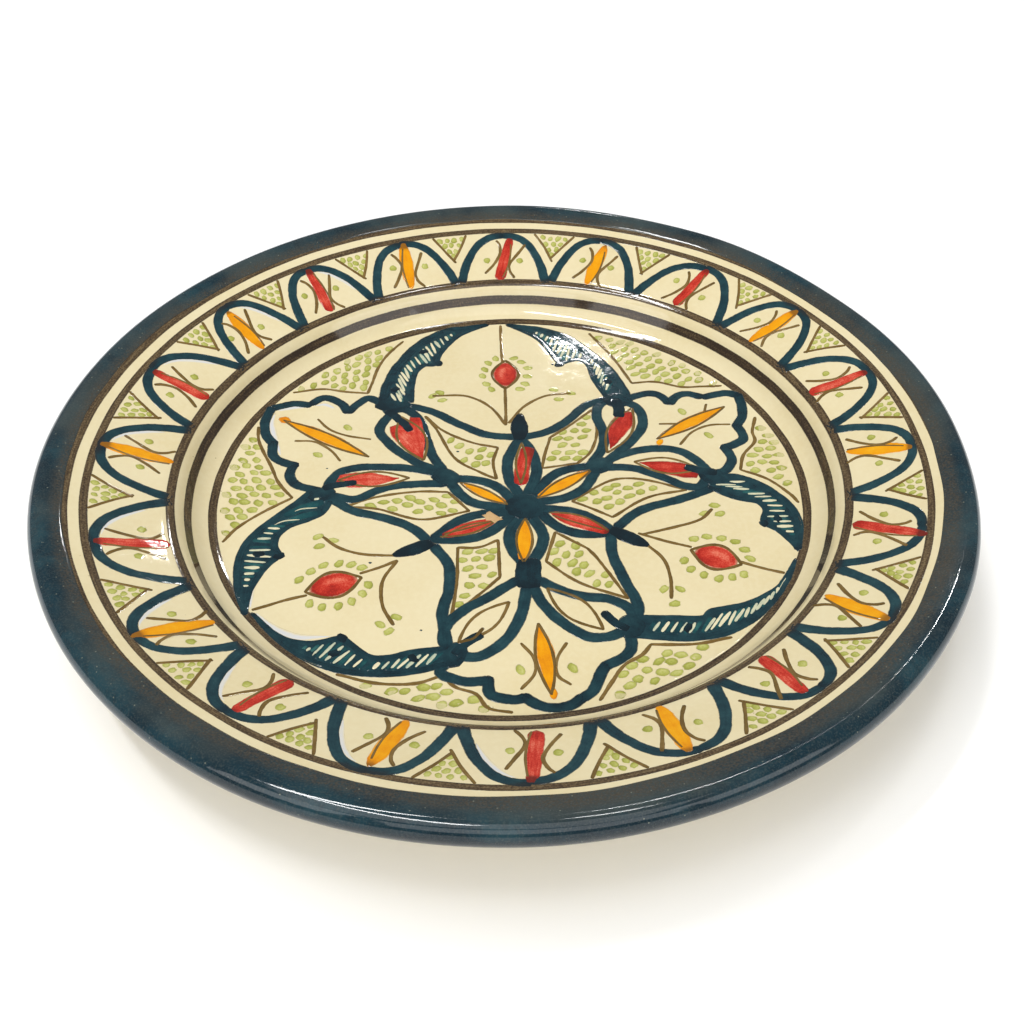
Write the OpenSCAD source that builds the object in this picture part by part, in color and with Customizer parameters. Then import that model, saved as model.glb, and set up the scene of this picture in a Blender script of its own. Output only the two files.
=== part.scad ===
// Hand painted earthenware plate: a thrown body, its glaze coats and its fired-on painting.
// Origin: centre of the foot's resting plane. +Z is the plate's axis, and +Y is the top of the painting.

/* [Plate] */
// Diameter over the lip
plate_d = 270; // [220:1:320]
// Height from the table to the top of the lip
plate_h = 34; // [32:0.5:40]
// Height of the flat well above the table
well_z = 13; // [12:0.5:14]
// Height of the ledge where the sloping rim meets the wall of the well
ledge_z = 24; // [22:0.5:25]
// Thickness of the rolled lip and of the rim behind it
lip_t = 7.5; // [6:0.5:8]

/* [Foot] */
// Diameter over the foot ring
foot_d = 148; // [130:1:150]
// Width of the ring that touches the table
foot_w = 6; // [4:0.5:9]
// Height of the foot ring
foot_h = 5.5; // [4:0.5:6]

/* [Glaze and paint] */
// Thickness of the glaze coats
glaze_t = 0.5; // [0.4:0.05:0.8]
// Height of the painting over the glaze
paint_t = 0.3; // [0.25:0.05:0.4]
// Width of the thick blue brush lines
blue_w = 3.4; // [2:0.1:3.6]
// Width of the thin brown pen lines
line_w = 0.7; // [0.5:0.1:1]

/* [Hidden] */
$fn = 96;

// The painting is laid out for a 270 mm plate, and is scaled with the plate
k = plate_d / 270;
lip_r = plate_d / 2;
flat_r = 84.5 * k;
ledge_r = 99.5 * k;
glaze_edge_r = 126.4 * k;
// The painting on the sloping rim lies inside this radius
painted_r = 121.3 * k;
roll_r = lip_t / 2;
roll_c = [lip_r - roll_r, plate_h - roll_r];
ledge_p = [ledge_r, ledge_z];
// Slope of the rim, tangent to the rolled lip
marly_a = atan2(roll_c.y - ledge_z, roll_c.x - ledge_r) + asin(roll_r / norm(roll_c - ledge_p));
foot_r = foot_d / 2;
foot_chamfer = 0.8;
foot_inner_r = foot_r - foot_w - 2 * foot_chamfer;
// The back glaze stops this far out from the foot ring
glaze_stop_r = foot_r + 4;

// ---- Curves ----
function mix(a, b, t) = a + (b - a) * t;
function spline_at(a, b, c, d, t) =
    (2 * b + (c - a) * t + (2 * a - 5 * b + 4 * c - d) * t ^ 2 + (3 * b - a - 3 * c + d) * t ^ 3) / 2;
// A smooth curve through points p, with n steps between each two
function smooth(p, n) = [
    for (i = [0 : len(p) - 2], j = [0 : n - 1])
        spline_at(p[max(i - 1, 0)], p[i], p[i + 1], p[min(i + 2, len(p) - 1)], j / n),
    p[len(p) - 1],
];
function turned(p) = [for (i = [len(p) - 1 : -1 : 0]) p[i]];
function across(d) = [-d.y, d.x] / norm(d);
function normal_at(p, i) = across(p[min(i + 1, len(p) - 1)] - p[max(i - 1, 0)]);
// The line p moved sideways by d, to the left of its direction
function beside(p, d) = [for (i = [0 : len(p) - 1]) p[i] + d * normal_at(p, i)];
// A line from a to b that bows out to the left by h
function bow(a, b, h, n = 8) = [for (i = [0 : n]) mix(a, b, i / n) + across(b - a) * h * sin(180 * i / n)];
// The outline of a brush line of width w along p, a little narrower at its ends
function ribbon(p, w) = concat(
    [for (i = [0 : len(p) - 1]) p[i] + normal_at(p, i) * half_width(i, p, w)],
    turned([for (i = [0 : len(p) - 1]) p[i] - normal_at(p, i) * half_width(i, p, w)])
);
function half_width(i, p, w) = (i == 0 || i == len(p) - 1 ? 0.35 : 0.5) * w;
// The outline of a pointed leaf or bud from a to b, of width w
function lens(a, b, w, n = 6) = let (one = bow(a, b, w / 2, n), two = bow(b, a, w / 2, n))
    concat([for (i = [0 : n - 1]) one[i]], [for (i = [0 : n - 1]) two[i]]);
function polar(r, a) = [r * cos(a), r * sin(a)];
function crossings(p, q) = [
    for (i = [0 : len(q) - 1])
        let (a = q[i], b = q[(i + 1) % len(q)])
            if ((a.y > p.y) != (b.y > p.y) && p.x < a.x + (p.y - a.y) * (b.x - a.x) / (b.y - a.y)) 1
];
function inside(p, q) = len(crossings(p, q)) % 2 == 1;

// ---- Section of the plate ----
// Height of the sloping rim at radius r
function marly_z(r) = ledge_z + (r - ledge_r) * tan(marly_a);
wall_shape = [[0, 0], [0.17, 0.03], [0.37, 0.15], [0.53, 0.33], [0.67, 0.58], [0.8, 0.84], [1, 1]];
well_wall = smooth([for (p = wall_shape) [mix(flat_r, ledge_r, p.x), mix(well_z, ledge_z, p.y)]], 3);
// The upper surface from the axis to the inner edge of the lip glaze
glaze_edge = [glaze_edge_r, marly_z(glaze_edge_r)];
face_curve = concat([[0, well_z]], well_wall, [glaze_edge]);
function face_z(r) = lookup(r, face_curve);
// A point of the face moved down through the glaze, further where the wall is steep
function under_glaze(p) = p - [0, glaze_t / (p.x > flat_r && p.x < ledge_r ? cos(45) : 1)];
// Over the lip, from the edge of the face glaze to the back of the rim
lip_steps = 12;
lip_curve = concat(
    [glaze_edge],
    [for (i = [0 : lip_steps]) roll_c + polar(roll_r, 90 + marly_a - i * 180 / lip_steps)]
);
// The back, from the rim to the foot
back_rim_p = lip_curve[len(lip_curve) - 1];
back_bend_p = back_rim_p - 29 * k * [1, tan(marly_a)];
back_curve = concat([back_rim_p], smooth([
    back_bend_p,
    [97 * k, mix(foot_h, back_bend_p.y, 0.66)],
    [90 * k, mix(foot_h, back_bend_p.y, 0.22)],
    [glaze_stop_r, foot_h],
], 3));

module coat(curve, t) rotate_extrude() polygon(concat(curve, turned(beside(curve, -t))));

// A painted ring between two radii of the upper surface
module ring(r1, r2) {
    curve = [for (i = [0 : 4]) let (r = mix(r1, r2, i / 4)) [r, face_z(r)]];
    coat(beside(curve, paint_t), paint_t);
}

module clay_body() {
    inner_lip = [for (i = [1 : len(lip_curve) - 1]) beside(lip_curve, -glaze_t)[i]];
    inner_back = [for (i = [1 : len(back_curve) - 2]) beside(back_curve, -glaze_t)[i]];
    color("#C9A878") rotate_extrude() polygon(concat(
        [for (p = face_curve) under_glaze(p)],
        inner_lip,
        inner_back,
        [[glaze_stop_r, foot_h], [foot_inner_r, foot_h], [foot_inner_r, foot_h + glaze_t], [0, foot_h + glaze_t]]
    ));
}

// The ring turned at the foot, which is left bare where it touches the table
module foot_ring() {
    color("#C9A878") rotate_extrude() polygon([
        [foot_r + 1, foot_h], [foot_r - foot_chamfer, foot_chamfer], [foot_r - 2 * foot_chamfer, 0],
        [foot_inner_r + 2 * foot_chamfer, 0], [foot_inner_r + foot_chamfer, foot_chamfer], [foot_inner_r, foot_h],
    ]);
}

module face_glaze() {
    color("#E6D9B0") rotate_extrude() polygon(concat(
        face_curve,
        turned([for (p = face_curve) under_glaze(p)])
    ));
}

module back_glaze() { color("#DDCFA6") coat(back_curve, glaze_t); }

module foot_well_glaze() {
    color("#DDCFA6") translate([0, 0, foot_h]) cylinder(h = glaze_t, r = foot_inner_r);
}

module rim_glaze() { color("#1B3F4F") coat(lip_curve, glaze_t); }

// ---- Banding lines ----
module lip_line() { color("#5A4530") ring(124 * k, 126.2 * k); }
module marly_line() { color("#5A4530") ring(119.2 * k, 121.4 * k); }
module ledge_line() { color("#5A4530") ring(96.9 * k, 99.3 * k); }
module wall_line() { color("#3A2C20") ring(93.1 * k, 94.9 * k); }
module well_line() { color("#5A4530") ring(86.6 * k, 89.1 * k); }

// ---- Painting on the sloping rim ----
// A film of paint height on the sloping rim, cut to the shapes given
module on_marly() {
    low = [ledge_r + 0.2, marly_z(ledge_r + 0.2)];
    high = [painted_r, marly_z(painted_r)];
    lift = paint_t / cos(marly_a);
    intersection() {
        linear_extrude(plate_h) children();
        rotate_extrude() polygon([low, high, high + [0, lift], low + [0, lift]]);
    }
}

// Angles of the points between the arches, as the painter spaced them by eye
valley_a = [7, 26, 44, 64, 82, 100, 118, 135, 151, 171, 190, 210, 227, 245, 263, 281, 300, 316, 332, 350];
arch_count = len(valley_a);
arch_foot_r = 99.8;
arch_top_r = 118;
function valley(i) = valley_a[i % arch_count] + (i < arch_count ? 0 : 360);
function bud_a(i) = (valley(i) + valley(i + 1)) / 2;
arch_n = 14;
// One arch: half of an ellipse in angle and radius
function arch(i) = [
    for (j = [0 : arch_n])
        let (u = 180 - 180 * j / arch_n)
            polar(
                k * mix(arch_foot_r, arch_top_r, sin(u) ^ 0.9),
                mix(valley(i), valley(i + 1), 0.5 - 0.46 * cos(u))
            )
];

module scallop_arches() {
    color("#1B3F4F") for (i = [0 : arch_count - 1]) on_marly() polygon(ribbon(arch(i), 2.6 * k));
}

module scallop_buds(first) {
    for (i = [first : 2 : arch_count - 1])
        on_marly() polygon(lens(polar(100.5 * k, bud_a(i) + 0.3), polar(117.5 * k, bud_a(i) - 0.2), 3.4 * k));
}
module scallop_buds_red() { color("#C8313A") scallop_buds(0); }
module scallop_buds_yellow() { color("#F2A40C") scallop_buds(1); }

// Two bowed pen lines beside each bud
module scallop_bud_lines() {
    color("#6B5128") for (i = [0 : arch_count - 1], s = [-1, 1]) {
        low = polar(100.5 * k, bud_a(i) + 2.2 * s);
        high = polar(114.5 * k, bud_a(i) + 2.4 * s);
        on_marly() polygon(ribbon(bow(low, high, 1.5 * s * k, 4), 0.6 * k));
    }
}

// A round dot of paint lying on the sloping rim
module marly_dot(r, a, size) {
    rotate(a) translate([r, 0, face_z(r)]) rotate([0, -marly_a, 0]) cylinder(h = paint_t, r = size);
}
module scallop_dots() {
    color("#A9B95A") for (i = [0 : arch_count - 1], s = [-1, 1])
        marly_dot((107.5 + 1.2 * s) * k, bud_a(i) + 3.2 * s, 0.9 * k);
}
module spandrel_frames() {
    color("#6B5128") for (i = [0 : arch_count - 1], s = [-1, 1])
        on_marly() polygon(ribbon([polar(109.2 * k, valley(i)), polar(118.4 * k, valley(i) + 2.9 * s)], 0.6 * k));
}
module spandrel_dots() {
    // Each dot as radius and angle from the middle of its triangle
    spots = [[112, 0], [114.4, -0.7], [114.6, 0.8], [117, -1.6], [117, 0], [117, 1.6]];
    color("#A9B95A") for (i = [0 : arch_count - 1], p = spots) marly_dot(p.x * k, valley(i) + p.y, 0.7 * k);
}

// ---- Painting in the flat well ----
module on_well() { translate([0, 0, well_z]) linear_extrude(paint_t) children(); }
module blue_line(points, w = blue_w) { on_well() polygon(ribbon(k * smooth(points, 3), w * k)); }
module pen_line(points) { on_well() polygon(ribbon(k * smooth(points, 3), line_w * k)); }
module bud(a, b, w) { on_well() polygon(k * lens(a, b, w)); }
module dot(p, size = 1) { translate([k * p.x, k * p.y, well_z]) cylinder(h = paint_t, r = size * k); }

star_c = [4.5, -9];
// Each petal: where it starts and ends, and how far its two lines bow out
petals = [
    [[4, -6], [3.6, 23.5], 4.4, 4.4],
    [[7, -7], [27, 9.5], 5.3, 5.3],
    [[8, -10], [30, -20.5], 3.3, 4.9],
    [[4.6, -11], [4.6, -34], 4.8, 4.8],
    [[1, -11.5], [-22, -22.5], 4.6, 4.1],
    [[2, -8.5], [-18.5, 4], 5.2, 4.5],
];
// Two blue lines bow round each petal, which is left in the colour of the glaze
module star_petals() {
    color("#1B3F4F") {
        dot(star_c, 5.2);
        for (p = petals) {
            on_well() polygon(k * ribbon(bow(p[0], p[1], p[2]), blue_w));
            on_well() polygon(k * ribbon(bow(p[0], p[1], -p[3]), blue_w));
        }
    }
}
module star_bulbs() {
    color("#1B3F4F") {
        bud([3.4, 22], [3.6, 36], 5.8);
        bud([28.5, -19], [39.5, -26.5], 5.2);
        bud([-22, -23.5], [-33.5, -29], 5.2);
    }
}
module star_buds_red() {
    color("#C8313A") {
        bud([3.2, 1], [5.6, 19.5], 3.6);
        bud([12.5, -12], [28.5, -20.5], 3.8);
        bud([-4.5, -14.5], [-20, -21], 3.6);
    }
}
module star_buds_yellow() {
    color("#F2A40C") {
        bud([7.5, -5.5], [25, 7.4], 3.6);
        bud([4.2, -14], [3.4, -32.5], 3.6);
        bud([-0.8, -7.6], [-14.8, 2.4], 2.8);
    }
}
// The pen line that runs along the middle of each bud of the star
module star_bud_lines() {
    color("#6B5128") for (p = [
        [[3.6, 3], [3.8, 20.5]], [[9.5, -3.5], [23.5, 6.5]], [[13, -12.8], [26.5, -19]],
        [[5.6, -15], [5.6, -30]], [[-6, -16], [-18.5, -20]], [[-2.5, -5.8], [-14, 2.2]],
    ]) on_well() polygon(k * ribbon(p, line_w));
}

module heart_loops_left() {
    color("#1B3F4F") {
        dot([-19.5, 5], 3.4);
        blue_line([[-20, 7], [-28, 11.5], [-36, 19], [-41, 27], [-40.3, 32], [-37, 38]]);
        blue_line([[-20, 7], [-24.5, 17], [-27.5, 29], [-30.5, 36], [-35, 39.5]]);
        blue_line([[-20, 6], [-30, 9], [-43, 10], [-51, 8.3], [-54, 4], [-55, 0]]);
        blue_line([[-19, 2], [-32, 1.5], [-39, -0.5], [-46, -4.8], [-54, -3]]);
    }
}
module heart_loops_right() {
    color("#1B3F4F") {
        dot([27.5, 9.5], 3.4);
        blue_line([[25.5, 11], [29, 17.5], [30, 25], [28.4, 33], [29.2, 39.5], [33, 42.5]]);
        blue_line([[29, 10.5], [36, 18], [41.5, 26], [43, 33], [41, 39], [37, 42]]);
        blue_line([[29, 11], [37, 15.5], [47, 17.3], [54, 15.2], [58.5, 10], [61, 5]]);
        blue_line([[28, 8.5], [37, 8.2], [45, 4.5], [52, -0.2], [57, -1], [60, 3]]);
    }
}
module heart_loops_bottom() {
    color("#1B3F4F") {
        on_well() polygon(k * ribbon([[5, -32], [5, -41]], 7));
        blue_line([[2, -39], [-6, -45.5], [-13, -50.5], [-17, -55.5], [-18, -61], [-15.5, -65.5]]);
        blue_line([[4.5, -41], [3.2, -50], [0.5, -58], [-4, -64], [-9, -67], [-14, -66.5]]);
        blue_line([[7.5, -39], [13, -43], [20, -45.8], [27, -47], [32, -50.5], [33, -55]]);
        blue_line([[5.8, -41], [9, -49], [14, -55.5], [20, -60.3], [26, -60.5], [31, -58]]);
    }
}
// The short blue hook at the outer end of each loop, which holds its bud
module heart_hooks() {
    color("#1B3F4F") {
        bud([-39.5, 39], [-31, 26.5], 4.4);
        bud([-56, 0], [-45, 2.5], 3.4);
        bud([35, 43], [35.2, 33.5], 5);
        bud([63, 5.5], [53.5, 8.8], 4.4);
        bud([-15, -66], [-7.5, -59], 3.8);
        bud([31, -58], [24.5, -51.5], 3.6);
    }
}
module heart_buds_red() {
    color("#C8313A") {
        bud([-26.8, 13.5], [-34.5, 34], 7.5);
        bud([-34, 4.2], [-52.5, 4], 6);
        bud([31.5, 17.5], [39, 36], 6.5);
        bud([40, 10.5], [57.5, 4.5], 6);
    }
}
module heart_bud_lines() {
    color("#6B5128") for (p = [
        [[-26.5, 13], [-35, 35], 4.4], [[-30.5, 4.6], [-52, 4], 3.4], [[30.5, 15.5], [40, 38], 3.8],
        [[38.5, 11], [58, 7], 3.6], [[-0.5, -47.5], [-14, -62], 3.2], [[10, -42.5], [24.5, -58], 3.6],
    ], s = [-1, 1]) on_well() polygon(k * ribbon(bow(p[0], p[1], s * p[2], 6), line_w));
}

// A filled blue crescent between an outer and an inner edge
module crescent(outer, inner) { on_well() polygon(k * concat(smooth(outer, 2), turned(smooth(inner, 2)))); }

module leaf_top() {
    color("#1B3F4F") {
        crescent(
            [[-42.5, 44], [-42, 55], [-38.5, 66], [-31.5, 76], [-23, 82.5], [-10, 85.6]],
            [[-32.5, 41], [-30.5, 50], [-30, 59], [-24, 63], [-22, 68], [-17.5, 77], [-8, 84.6]]
        );
        crescent(
            [[3, 86], [15, 84], [25, 77.5], [32.5, 67], [37.5, 57], [40.5, 45]],
            [[2, 85], [9, 78], [14, 70], [17.5, 61], [21, 64], [25, 63.5], [27, 54], [31, 42.5]]
        );
        blue_line([[-33, 40.5], [-25, 37.5], [-15, 30], [-7, 25.2], [1, 24], [9, 25], [17, 30], [25, 39.5], [32, 43]]);
    }
}
module leaf_left() {
    color("#1B3F4F") {
        crescent(
            [[-60, 1], [-69, -8], [-75, -17], [-77.5, -28], [-76.5, -38], [-71.5, -47.5]],
            [[-53, -6], [-56, -12.5], [-65, -17.5], [-66.8, -23], [-65, -29], [-69, -36], [-70.5, -47]]
        );
        crescent(
            [[-67, -53.5], [-59.5, -61.8], [-49.5, -69.5], [-38, -72.6], [-26, -73], [-15, -69]],
            [[-66.4, -52.6], [-58.5, -60], [-50, -61], [-43.5, -60.2], [-38, -65.5], [-28, -64], [-16, -64]]
        );
        blue_line([[-54, -4], [-46, -10], [-36, -13.5], [-28, -18], [-23, -24]]);
        blue_line([[-22, -25], [-17.5, -33], [-17, -42], [-18.5, -52], [-16.5, -65]]);
    }
}
module leaf_right() {
    color("#1B3F4F") {
        crescent(
            [[63, 5], [71, 3], [78, -4], [82.5, -12], [83.5, -18], [81.5, -27]],
            [[60.5, -1], [64, -6.5], [72, -10.5], [74, -15], [73, -18.5], [77.5, -24], [79.5, -31]]
        );
        crescent(
            [[79, -32.5], [75.5, -40.5], [68, -51.5], [58, -59.5], [46, -62], [32, -60]],
            [[78.4, -32.5], [73.5, -42.5], [64, -48.5], [54, -51], [52, -54.5], [42, -53.5], [33, -53.5]]
        );
        blue_line([[61, -1.5], [52, -6], [42, -9.5], [36, -13], [31, -18.5]]);
        blue_line([[29, -20.5], [29, -30], [31.5, -39.5], [34.3, -49], [33.5, -56]]);
    }
}
module leaf_veins() {
    color("#6B5128") {
        pen_line([[-2, 85.5], [-1.8, 64]]);
        pen_line([[-1.2, 50.5], [-1, 30]]);
        pen_line([[-1, 30], [-6, 39.5], [-14, 45.5], [-25, 45.8]]);
        pen_line([[0, 31], [5, 39.5], [12, 45], [20.5, 46.5]]);
        pen_line([[-32, -31], [-42, -36]]);
        pen_line([[-56.5, -44.5], [-70, -49.5]]);
        pen_line([[-33, -29], [-42, -28.3], [-49, -25.5], [-54, -21.5]]);
        pen_line([[-32, -31], [-35.5, -39], [-35, -48], [-31.5, -55.5]]);
        pen_line([[37, -21], [51.5, -27]]);
        pen_line([[64, -33], [76, -38]]);
        pen_line([[38, -21.5], [48, -18.5], [55.5, -15.5], [59.5, -11]]);
        pen_line([[38, -24.5], [43, -31.5], [44.3, -39], [43.7, -47]]);
    }
}

// Each berry: its middle, the way it points, its half length and its half width
berries = [[[-1, 57.3], 90, 7.2, 4.3], [[-49, -40.3], 20, 7.2, 4.8], [[58, -31.2], -25, 6.6, 4.8]];
function oval(c, a, rx, ry, n = 24) = [
    for (i = [0 : n - 1])
        let (x = rx * cos(360 * i / n), y = ry * sin(360 * i / n))
            c + [x * cos(a) - y * sin(a), x * sin(a) + y * cos(a)]
];
module leaf_berries() {
    color("#C8313A") for (b = berries) on_well() polygon(k * oval(b[0], b[1], b[2], b[3]));
}
module berry_dots() {
    color("#A9B95A") for (b = berries, p = oval(b[0], b[1], b[2] + 3.2, b[3] + 3.4, 16)) dot(p, 0.9);
}
module sprig_dots() {
    color("#A9B95A") for (p = [
        [-25, 48], [-22, 43.2], [-28, 44.5], [15, 48.5], [20.5, 44.4], [16, 43.2],
        [-55.5, -20.5], [-51, -22.5], [-54.5, -25], [-30.5, -53], [-35, -55.5], [-32.5, -57.8],
        [60.5, -9.5], [57, -13], [61.5, -13.2], [42, -43.5], [46.5, -43.5], [44.5, -49],
    ]) dot(p, 1.1);
}

module small_leaf_left() {
    color("#1B3F4F") {
        blue_line([[-38, 38], [-41, 43], [-45.5, 45], [-49.5, 41.5], [-52, 37.5]]);
        blue_line([[-52, 37.5], [-54.5, 42], [-60, 45.3], [-65, 42], [-71, 42], [-77, 39.5]]);
        blue_line([[-77, 39.5], [-78, 33], [-76, 26], [-73.8, 18], [-70.5, 13], [-65.5, 11]]);
        blue_line([[-65.5, 11], [-67.5, 6.5], [-65, 2], [-57, -1]]);
    }
}
module small_leaf_right() {
    color("#1B3F4F") {
        blue_line([[38, 42.5], [43, 46], [48.5, 45.8], [52.5, 41.3]]);
        blue_line([[52.5, 41.3], [57.5, 45], [64, 44], [71, 45.6], [75.5, 43]]);
        blue_line([[75.5, 43], [75.3, 34], [72.3, 28], [74, 22], [70, 18.5], [66.5, 17.2]]);
        blue_line([[66.5, 17.2], [68.6, 11.5], [66, 6.5], [62, 5]]);
    }
}
module small_leaf_bottom() {
    color("#1B3F4F") {
        blue_line([[-15, -67], [-18.5, -72], [-12, -75.3], [-6, -75]]);
        blue_line([[-6, -75], [-5.5, -79.5], [0, -81.3], [3.5, -80.8], [8, -83.8], [14, -83.8], [18, -81]]);
        blue_line([[18, -81], [21, -76.5], [23.5, -74], [24.5, -70]]);
        blue_line([[24.5, -70], [30, -67], [31.5, -63], [31, -58]]);
    }
}
// Each small leaf's bud from end to end
small_buds = [[[-73, 34], [-43, 14.5]], [[45.5, 21.5], [70, 38]], [[7.5, -55], [10, -80]]];
module small_leaf_buds() { color("#F2A40C") for (b = small_buds) bud(b[0], b[1], 4.6); }
module small_leaf_veins() {
    color("#6B5128") {
        pen_line([[-61.5, 34], [-57, 28.5], [-51, 25.3], [-43.7, 23.5]]);
        pen_line([[-67.5, 23], [-61.5, 22.5], [-56, 18.5], [-52.3, 13]]);
        pen_line([[48, 29.5], [56.5, 29.8], [62, 33], [64.3, 39.5]]);
        pen_line([[53.5, 19], [58, 25.2], [64, 28.5], [70.5, 28.8]]);
        pen_line([[2.5, -62.5], [5.7, -67.5], [5.8, -73], [2.3, -78]]);
        pen_line([[14.5, -62.5], [11.8, -68], [11.7, -73.5], [15, -76.7]]);
    }
}

// ---- Dotted grounds ----
// Each outer ground: the pen line on its inner side, and the angles where it meets the well's ring
outer_frames = [
    [[-36.5, 77], [-41, 70], [-44, 62], [-45.5, 53], [-46.5, 47.5], [-54, 48.5], [-62, 50], [-71, 48]],
    [[28.5, 80.5], [33, 72], [37, 63], [41, 51.5], [49, 52], [57, 49], [64, 49], [70.5, 49]],
    [[79, 32], [77, 25], [77, 20], [72.5, 13.5], [70.5, 6.5], [78, 2], [83.5, -5], [85.3, -9]],
    [[-80, 30], [-78.5, 22], [-73, 10], [-70, 3], [-65, -4], [-72, -9.5], [-79, -16.5], [-82.5, -23]],
    [[-45, -72.5], [-35, -75.5], [-25, -75.8], [-17.5, -73], [-14.5, -77], [-9, -79.5], [-6, -84], [0, -85.5]],
    [[58, -61.5], [48, -63.6], [36.5, -63.5], [34, -67], [29, -70.5], [25.5, -76], [22, -82]],
];
inner_frames = [
    [[-27, 35], [-21, 27.5], [-12, 21.5], [-3.5, 18.7], [-5, 12], [-4, 3.8], [-9, 7], [-17, 14], [-23, 28]],
    [[27, 37.5], [20, 30], [13, 23.5], [11, 15], [10, 8.5], [21, 10.7], [25.5, 16.5], [28, 27]],
    [[18.5, -6.8], [24, -10], [30, -14], [41, -5.6], [53, -2.4], [44, 1.5], [36, 3.3], [29, 1.5]],
    [[-49, -8.2], [-39, -9.3], [-26, -14], [-12, -10.5], [-18.5, -2], [-28, -1.7], [-40, -4]],
    [[-15, -26], [-9, -26], [-3.5, -23], [-3, -38], [-9, -45], [-16, -52.5], [-15, -40]],
    [[13, -20], [10, -32], [19, -40.5], [32, -46.8], [25, -32], [22, -27]],
];
dot_gap = 4.2;
dot_edge = 1.7;
ground_r = 84;
// The points of a staggered grid that lie inside the outline q and inside the well
function fill_dots(q) = [
    for (j = [-20 : 20], i = [-20 : 20])
        let (p = [dot_gap * (i + (j % 2 == 0 ? 0 : 0.5)), 0.87 * dot_gap * j])
            if (norm(p) < ground_r && clear_of(p, q)) p
];
function clear_of(p, q) = min([for (a = [0 : 60 : 300]) inside(p + polar(dot_edge, a), q) ? 1 : 0]) == 1;
// An outer ground's outline runs along its pen line and back round outside the well's edge
function outer_outline(q) = concat(q, [for (p = turned(q)) p * 96 / norm(p)]);

module outer_ground_frames() {
    color("#6B5128") for (q = outer_frames) on_well() polygon(k * ribbon(q, line_w));
}
// Each side of an inner ground is a pen line of its own, and the next one starts on its end
module inner_ground_frames() {
    color("#6B5128") for (q = inner_frames, i = [0 : len(q) - 1]) {
        a = q[i];
        b = q[(i + 1) % len(q)];
        on_well() polygon(k * ribbon([a, b + 0.3 * (b - a) / norm(b - a)], line_w));
    }
}
module outer_ground_dots() {
    color("#A9B95A") for (q = outer_frames, p = fill_dots(outer_outline(q))) dot(p);
}
module inner_ground_dots() {
    color("#A9B95A") for (q = inner_frames, p = fill_dots(q)) dot(p);
}

clay_body();
foot_ring();
face_glaze();
back_glaze();
foot_well_glaze();
rim_glaze();
lip_line();
marly_line();
ledge_line();
wall_line();
well_line();
scallop_arches();
scallop_buds_red();
scallop_buds_yellow();
scallop_bud_lines();
scallop_dots();
spandrel_frames();
spandrel_dots();
star_petals();
star_bulbs();
star_buds_red();
star_buds_yellow();
star_bud_lines();
heart_loops_left();
heart_loops_right();
heart_loops_bottom();
heart_hooks();
heart_buds_red();
heart_bud_lines();
leaf_top();
leaf_left();
leaf_right();
leaf_veins();
leaf_berries();
berry_dots();
sprig_dots();
small_leaf_left();
small_leaf_right();
small_leaf_bottom();
small_leaf_buds();
small_leaf_veins();
outer_ground_frames();
inner_ground_frames();
outer_ground_dots();
inner_ground_dots();
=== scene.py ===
import math
import random

import bpy
import numpy as np
from mathutils import Matrix, Vector


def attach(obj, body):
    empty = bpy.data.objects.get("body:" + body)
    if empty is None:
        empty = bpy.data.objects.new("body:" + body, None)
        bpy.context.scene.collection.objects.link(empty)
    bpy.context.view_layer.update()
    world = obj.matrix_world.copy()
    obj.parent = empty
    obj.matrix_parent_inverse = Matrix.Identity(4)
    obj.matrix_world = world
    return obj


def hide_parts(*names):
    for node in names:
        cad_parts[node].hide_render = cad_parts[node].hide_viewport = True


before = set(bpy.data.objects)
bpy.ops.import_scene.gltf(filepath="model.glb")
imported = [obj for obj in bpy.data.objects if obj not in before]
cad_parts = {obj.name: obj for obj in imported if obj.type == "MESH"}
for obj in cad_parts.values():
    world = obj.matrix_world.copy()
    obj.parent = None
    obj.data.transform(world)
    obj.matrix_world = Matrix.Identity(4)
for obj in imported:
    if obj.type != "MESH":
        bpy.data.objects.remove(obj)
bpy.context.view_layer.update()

# Lengths are in millimetres until a mesh is made. Angles are in degrees from +X.
MM = 0.001
rng = random.Random(11)


# ---- Camera and light ----
def make_camera():
    """A 42 mm lens 0.35 m from the middle of the rim's plane, looking down at 39 degrees."""
    data = bpy.data.cameras.new("view")
    data.lens = 42.19
    data.clip_start = 0.02
    data.clip_end = 50
    cam = bpy.data.objects.new("view", data)
    bpy.context.scene.collection.objects.link(cam)
    aim = Vector((0, 0, 31.3)) * MM
    place = aim + Vector((0, -271.9, 219.8)) * MM
    look = (aim - place).to_track_quat("-Z", "Y").to_matrix()
    # A slight roll, then down a little, because the plate sits above the middle of the picture
    for degrees, axis in ((-0.683, "Z"), (-3.498, "X"), (-0.1385, "Y")):
        look = look @ Matrix.Rotation(math.radians(degrees), 3, axis)
    cam.matrix_world = Matrix.Translation(place) @ look.to_4x4()
    bpy.context.scene.camera = cam


def panel(name, place, size, power, target=(0, 0, 0)):
    """A rectangular lamp, with its size in metres and its power in watts, that faces the target."""
    data = bpy.data.lights.new(name, "AREA")
    data.shape = "RECTANGLE"
    data.size, data.size_y = size
    data.energy = power
    lamp = bpy.data.objects.new(name, data)
    lamp.location = place
    lamp.rotation_mode = "QUATERNION"
    lamp.rotation_quaternion = (Vector(target) - Vector(place)).to_track_quat("-Z", "Y")
    bpy.context.scene.collection.objects.link(lamp)


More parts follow.
